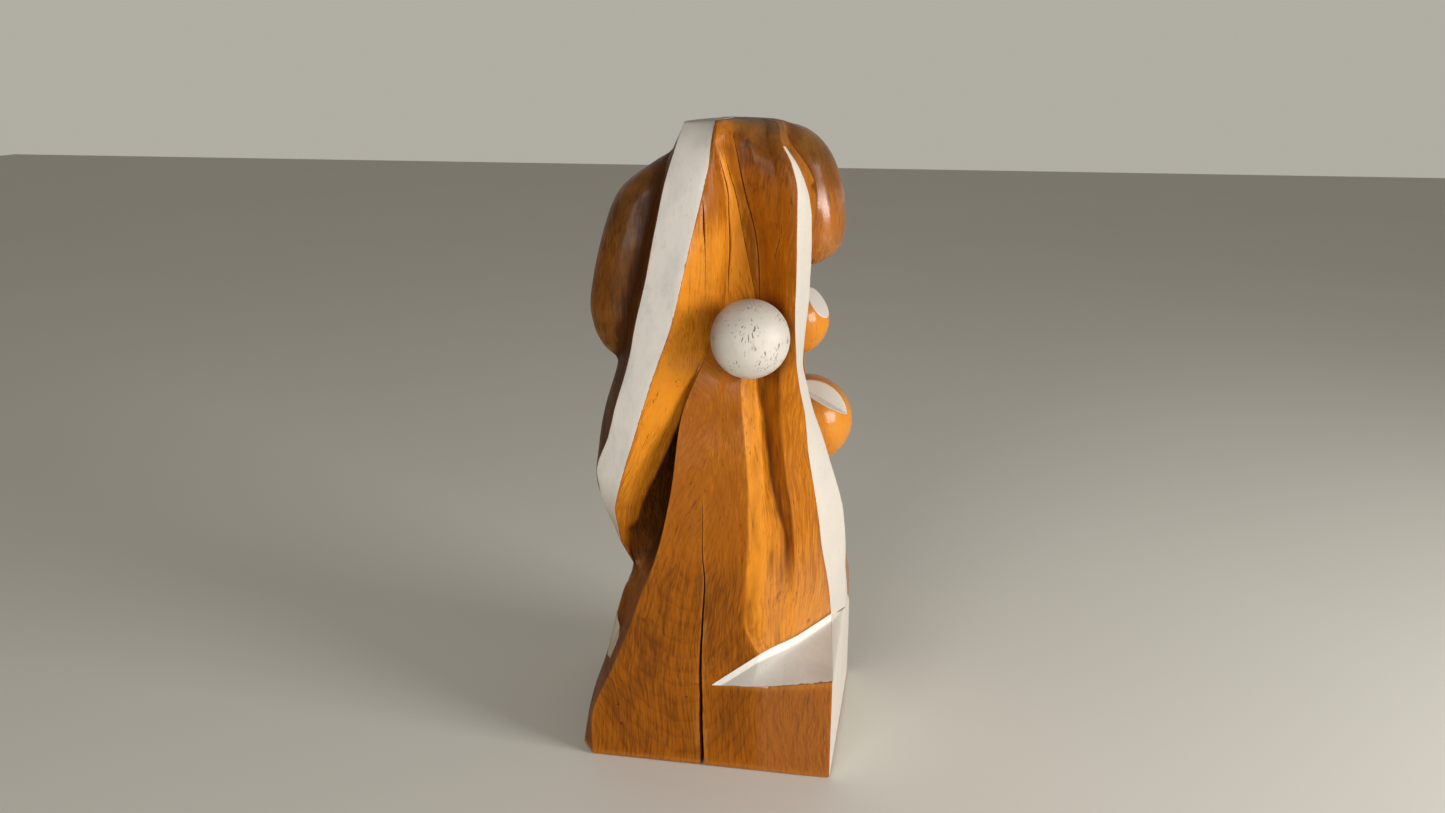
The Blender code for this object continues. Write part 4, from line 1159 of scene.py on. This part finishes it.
def ball_paint():
    """The same paint on the turned ball, with fine scratches."""
    nodes = Nodes("ball_paint")
    place = nodes.place()
    cloud = nodes.noise(place, (13, 13, 13), detail=4.0)
    mottle = nodes.noise(place, (3.5, 3.5, 6), detail=4.0)
    streak = nodes.noise(place, (0.7, 0.7, 5.0), detail=3.0, roughness=0.6)
    scratch = nodes.ramp(nodes.noise(place, (0.7, 0.7, 3.6), detail=1.0), 0.60, 0.66)
    some = nodes.ramp(nodes.noise(place, (8, 8, 7), detail=1.0), 0.52, 0.62)
    pit = nodes.ramp(nodes.noise(place, (1.2, 1.2, 1.2), detail=0.0), 0.80, 0.83)
    colour = nodes.stain(BALL_PAINT, BALL_CLOUD, nodes.ramp(cloud, 0.42, 0.68), 0.40)
    colour = nodes.stain(colour, BALL_MOTTLE, nodes.ramp(mottle, 0.52, 0.70), 0.25)
    colour = nodes.stain(colour, BALL_STREAK, nodes.ramp(streak, 0.50, 0.7), 0.22)
    marks = nodes.times(nodes.math("MAXIMUM", nodes.times(scratch, some), pit), 0.85)
    colour = nodes.mix(marks, colour, BALL_MARK)
    # Painted shade: the top of the ball, where it faces up, is darkened.
    colour = nodes.stain(colour, BALL_TOP_SHADE, nodes.ramp(nodes.facing_up(), 0.10, 1.0), 0.30)
    colour = nodes.mix(nodes.ramp(nodes.axes(place)[0], 12, 0, 0.0, 0.85), colour, BALL_SHADE)
    height = nodes.sum(nodes.times(mottle, 0.6), nodes.times(streak, 0.35), nodes.times(marks, -0.8))
    return nodes.finish(colour, 0.50, height, 0.18, IOR=1.45)


def bare_wood():
    """Pale turned dowel."""
    nodes = Nodes("bare_wood")
    place = nodes.place()
    fibre = nodes.noise(place, (6, 0.6, 0.6), detail=4.0)
    colour = nodes.mix(nodes.ramp(fibre, 0.35, 0.7), (0.62, 0.47, 0.30), (0.42, 0.28, 0.15))
    return nodes.finish(colour, 0.75, fibre, 0.1)


def floor_material():
    nodes = Nodes("pale_floor")
    place = nodes.place()
    cloud = nodes.noise(place, (260, 260, 260), detail=3.0)
    colour = nodes.mix(cloud, (0.68, 0.65, 0.58), (0.72, 0.69, 0.62))
    return nodes.finish(colour, 0.7, cloud, 0.1)


# ---- assembling --------------------------------------------------------------------------------
def finish_piece(piece, look, slot, *stands_for):
    piece.data.materials.clear()
    piece.data.materials.append(look)
    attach(piece, "root")
    if stands_for:
        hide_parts(*stands_for)


def build_figure():
    wood, paint = varnished_wood("varnished_wood"), white_paint("white_paint")
    clean = white_paint("clean_paint", chips=0.2, top_shade=0.6, base=CLEAN_PAINT)
    finish_piece(carved_trunk(), wood, "varnished_wood", "trunk")
    band = band_between("band_paint", "band_left", 108.8, 299.95, 12, 11)
    strip = band_between("strip_paint", "strip_left", 60.2, 289.5, 16, 21, (0.15, 0.15), 0.45)
    ledge_look = white_paint("ledge_paint", top_shade=0.0, ledge_shade=0.6)
    for piece, look in ((band, paint), (strip, clean), (ledge_paint(), ledge_look),
                        (right_side_paint(), clean), (left_mark_paint(), paint)):
        finish_piece(piece, look, "white_paint")

    finish_piece(carved_ball("front_ball_painted", FRONT_BALL), ball_paint(), "white_paint",
                 "front_ball")

    ball_wood = varnished_wood("ball_wood", with_knots=False, tint=-0.12, base_coat=0.35)
    knob = carved_ball("side_knob_wood", KNOB, flat_cutter(KNOB, *KNOB_CAP), 0.5)
    surface_marks(knob.data)
    finish_piece(knob, ball_wood, "varnished_wood", "side_knob")
    finish_piece(knob_cap_paint(), clean, "white_paint")
    notch = flat_cutter(SIDE_BALL, *NOTCH_WALL)
    combine(notch, flat_cutter(SIDE_BALL, *NOTCH_FLOOR), "INTERSECT")
    side_ball = carved_ball("side_ball_wood", SIDE_BALL, notch, 0.45)
    surface_marks(side_ball.data)
    finish_piece(side_ball, ball_wood, "varnished_wood", "side_ball")
    for piece in (notch_paint("notch_wall_paint", *NOTCH_WALL, *NOTCH_FLOOR),
                  notch_paint("notch_floor_paint", *NOTCH_FLOOR, *NOTCH_WALL)):
        finish_piece(piece, clean, "white_paint")
    dowel_look = bare_wood()
    for name in ("front_ball_dowel", "side_knob_dowel", "side_ball_dowel"):
        for material_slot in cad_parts[name].material_slots:
            material_slot.material = dowel_look


def studio_world():
    """A pale wall behind the figure and dimmer light from the other sides."""
    world = bpy.data.worlds.new("studio")
    world.use_nodes = True
    tree = world.node_tree
    direction = tree.nodes.new("ShaderNodeTexCoord").outputs["Generated"]
    split = tree.nodes.new("ShaderNodeSeparateXYZ")
    tree.links.new(direction, split.inputs[0])
    ramp = tree.nodes.new("ShaderNodeValToRGB")
    ramp.color_ramp.elements[0].color = (0.20, 0.19, 0.17, 1)
    ramp.color_ramp.elements[0].position = 0.30
    ramp.color_ramp.elements[1].color = (0.44, 0.42, 0.37, 1)
    ramp.color_ramp.elements[1].position = 0.75
    tree.links.new(split.outputs[1], ramp.inputs[0])
    tree.links.new(ramp.outputs[0], tree.nodes["Background"].inputs["Color"])
    return world


def build_stage():
    reach, level = 3000, -0.2
    corners = [(-reach, -reach, level), (reach, -reach, level), (reach, reach, level),
               (-reach, reach, level)]
    floor = new_piece("floor", corners, [(0, 1, 2, 3)])
    floor.data.materials.append(floor_material())
    scene = bpy.context.scene
    scene.view_settings.view_transform = "Standard"
    scene.world = studio_world()
    for name, place, energy, size in (("key", (0.95, -0.30, 0.36), 8.8, 0.42),
                                      ("fill", (-0.32, -1.3, 0.42), 8.2, 0.6)):
        lamp = bpy.data.lights.new(name, "AREA")
        lamp.energy, lamp.size = energy, size
        light = bpy.data.objects.new(name, lamp)
        light.location = place
        aim = Vector((0, 0, 0.15)) - light.location
        light.rotation_euler = aim.to_track_quat("-Z", "Y").to_euler()
        scene.collection.objects.link(light)


def build_camera():
    """The main view, from above the figure's top, looking down on its front from the right."""
    lens = bpy.data.cameras.new("camera")
    lens.sensor_width, lens.lens = 36.0, 28.65
    lens.clip_start = 0.02
    camera = bpy.data.objects.new("camera", lens)
    downwards, to_left = math.radians(17.03), math.radians(10.2)
    camera.location = (0.0907, -0.5193, 0.3265)
    camera.rotation_euler = (math.pi / 2 - downwards, 0, to_left)
    bpy.context.scene.collection.objects.link(camera)
    bpy.context.scene.camera = camera


build_figure()
build_stage()
build_camera()
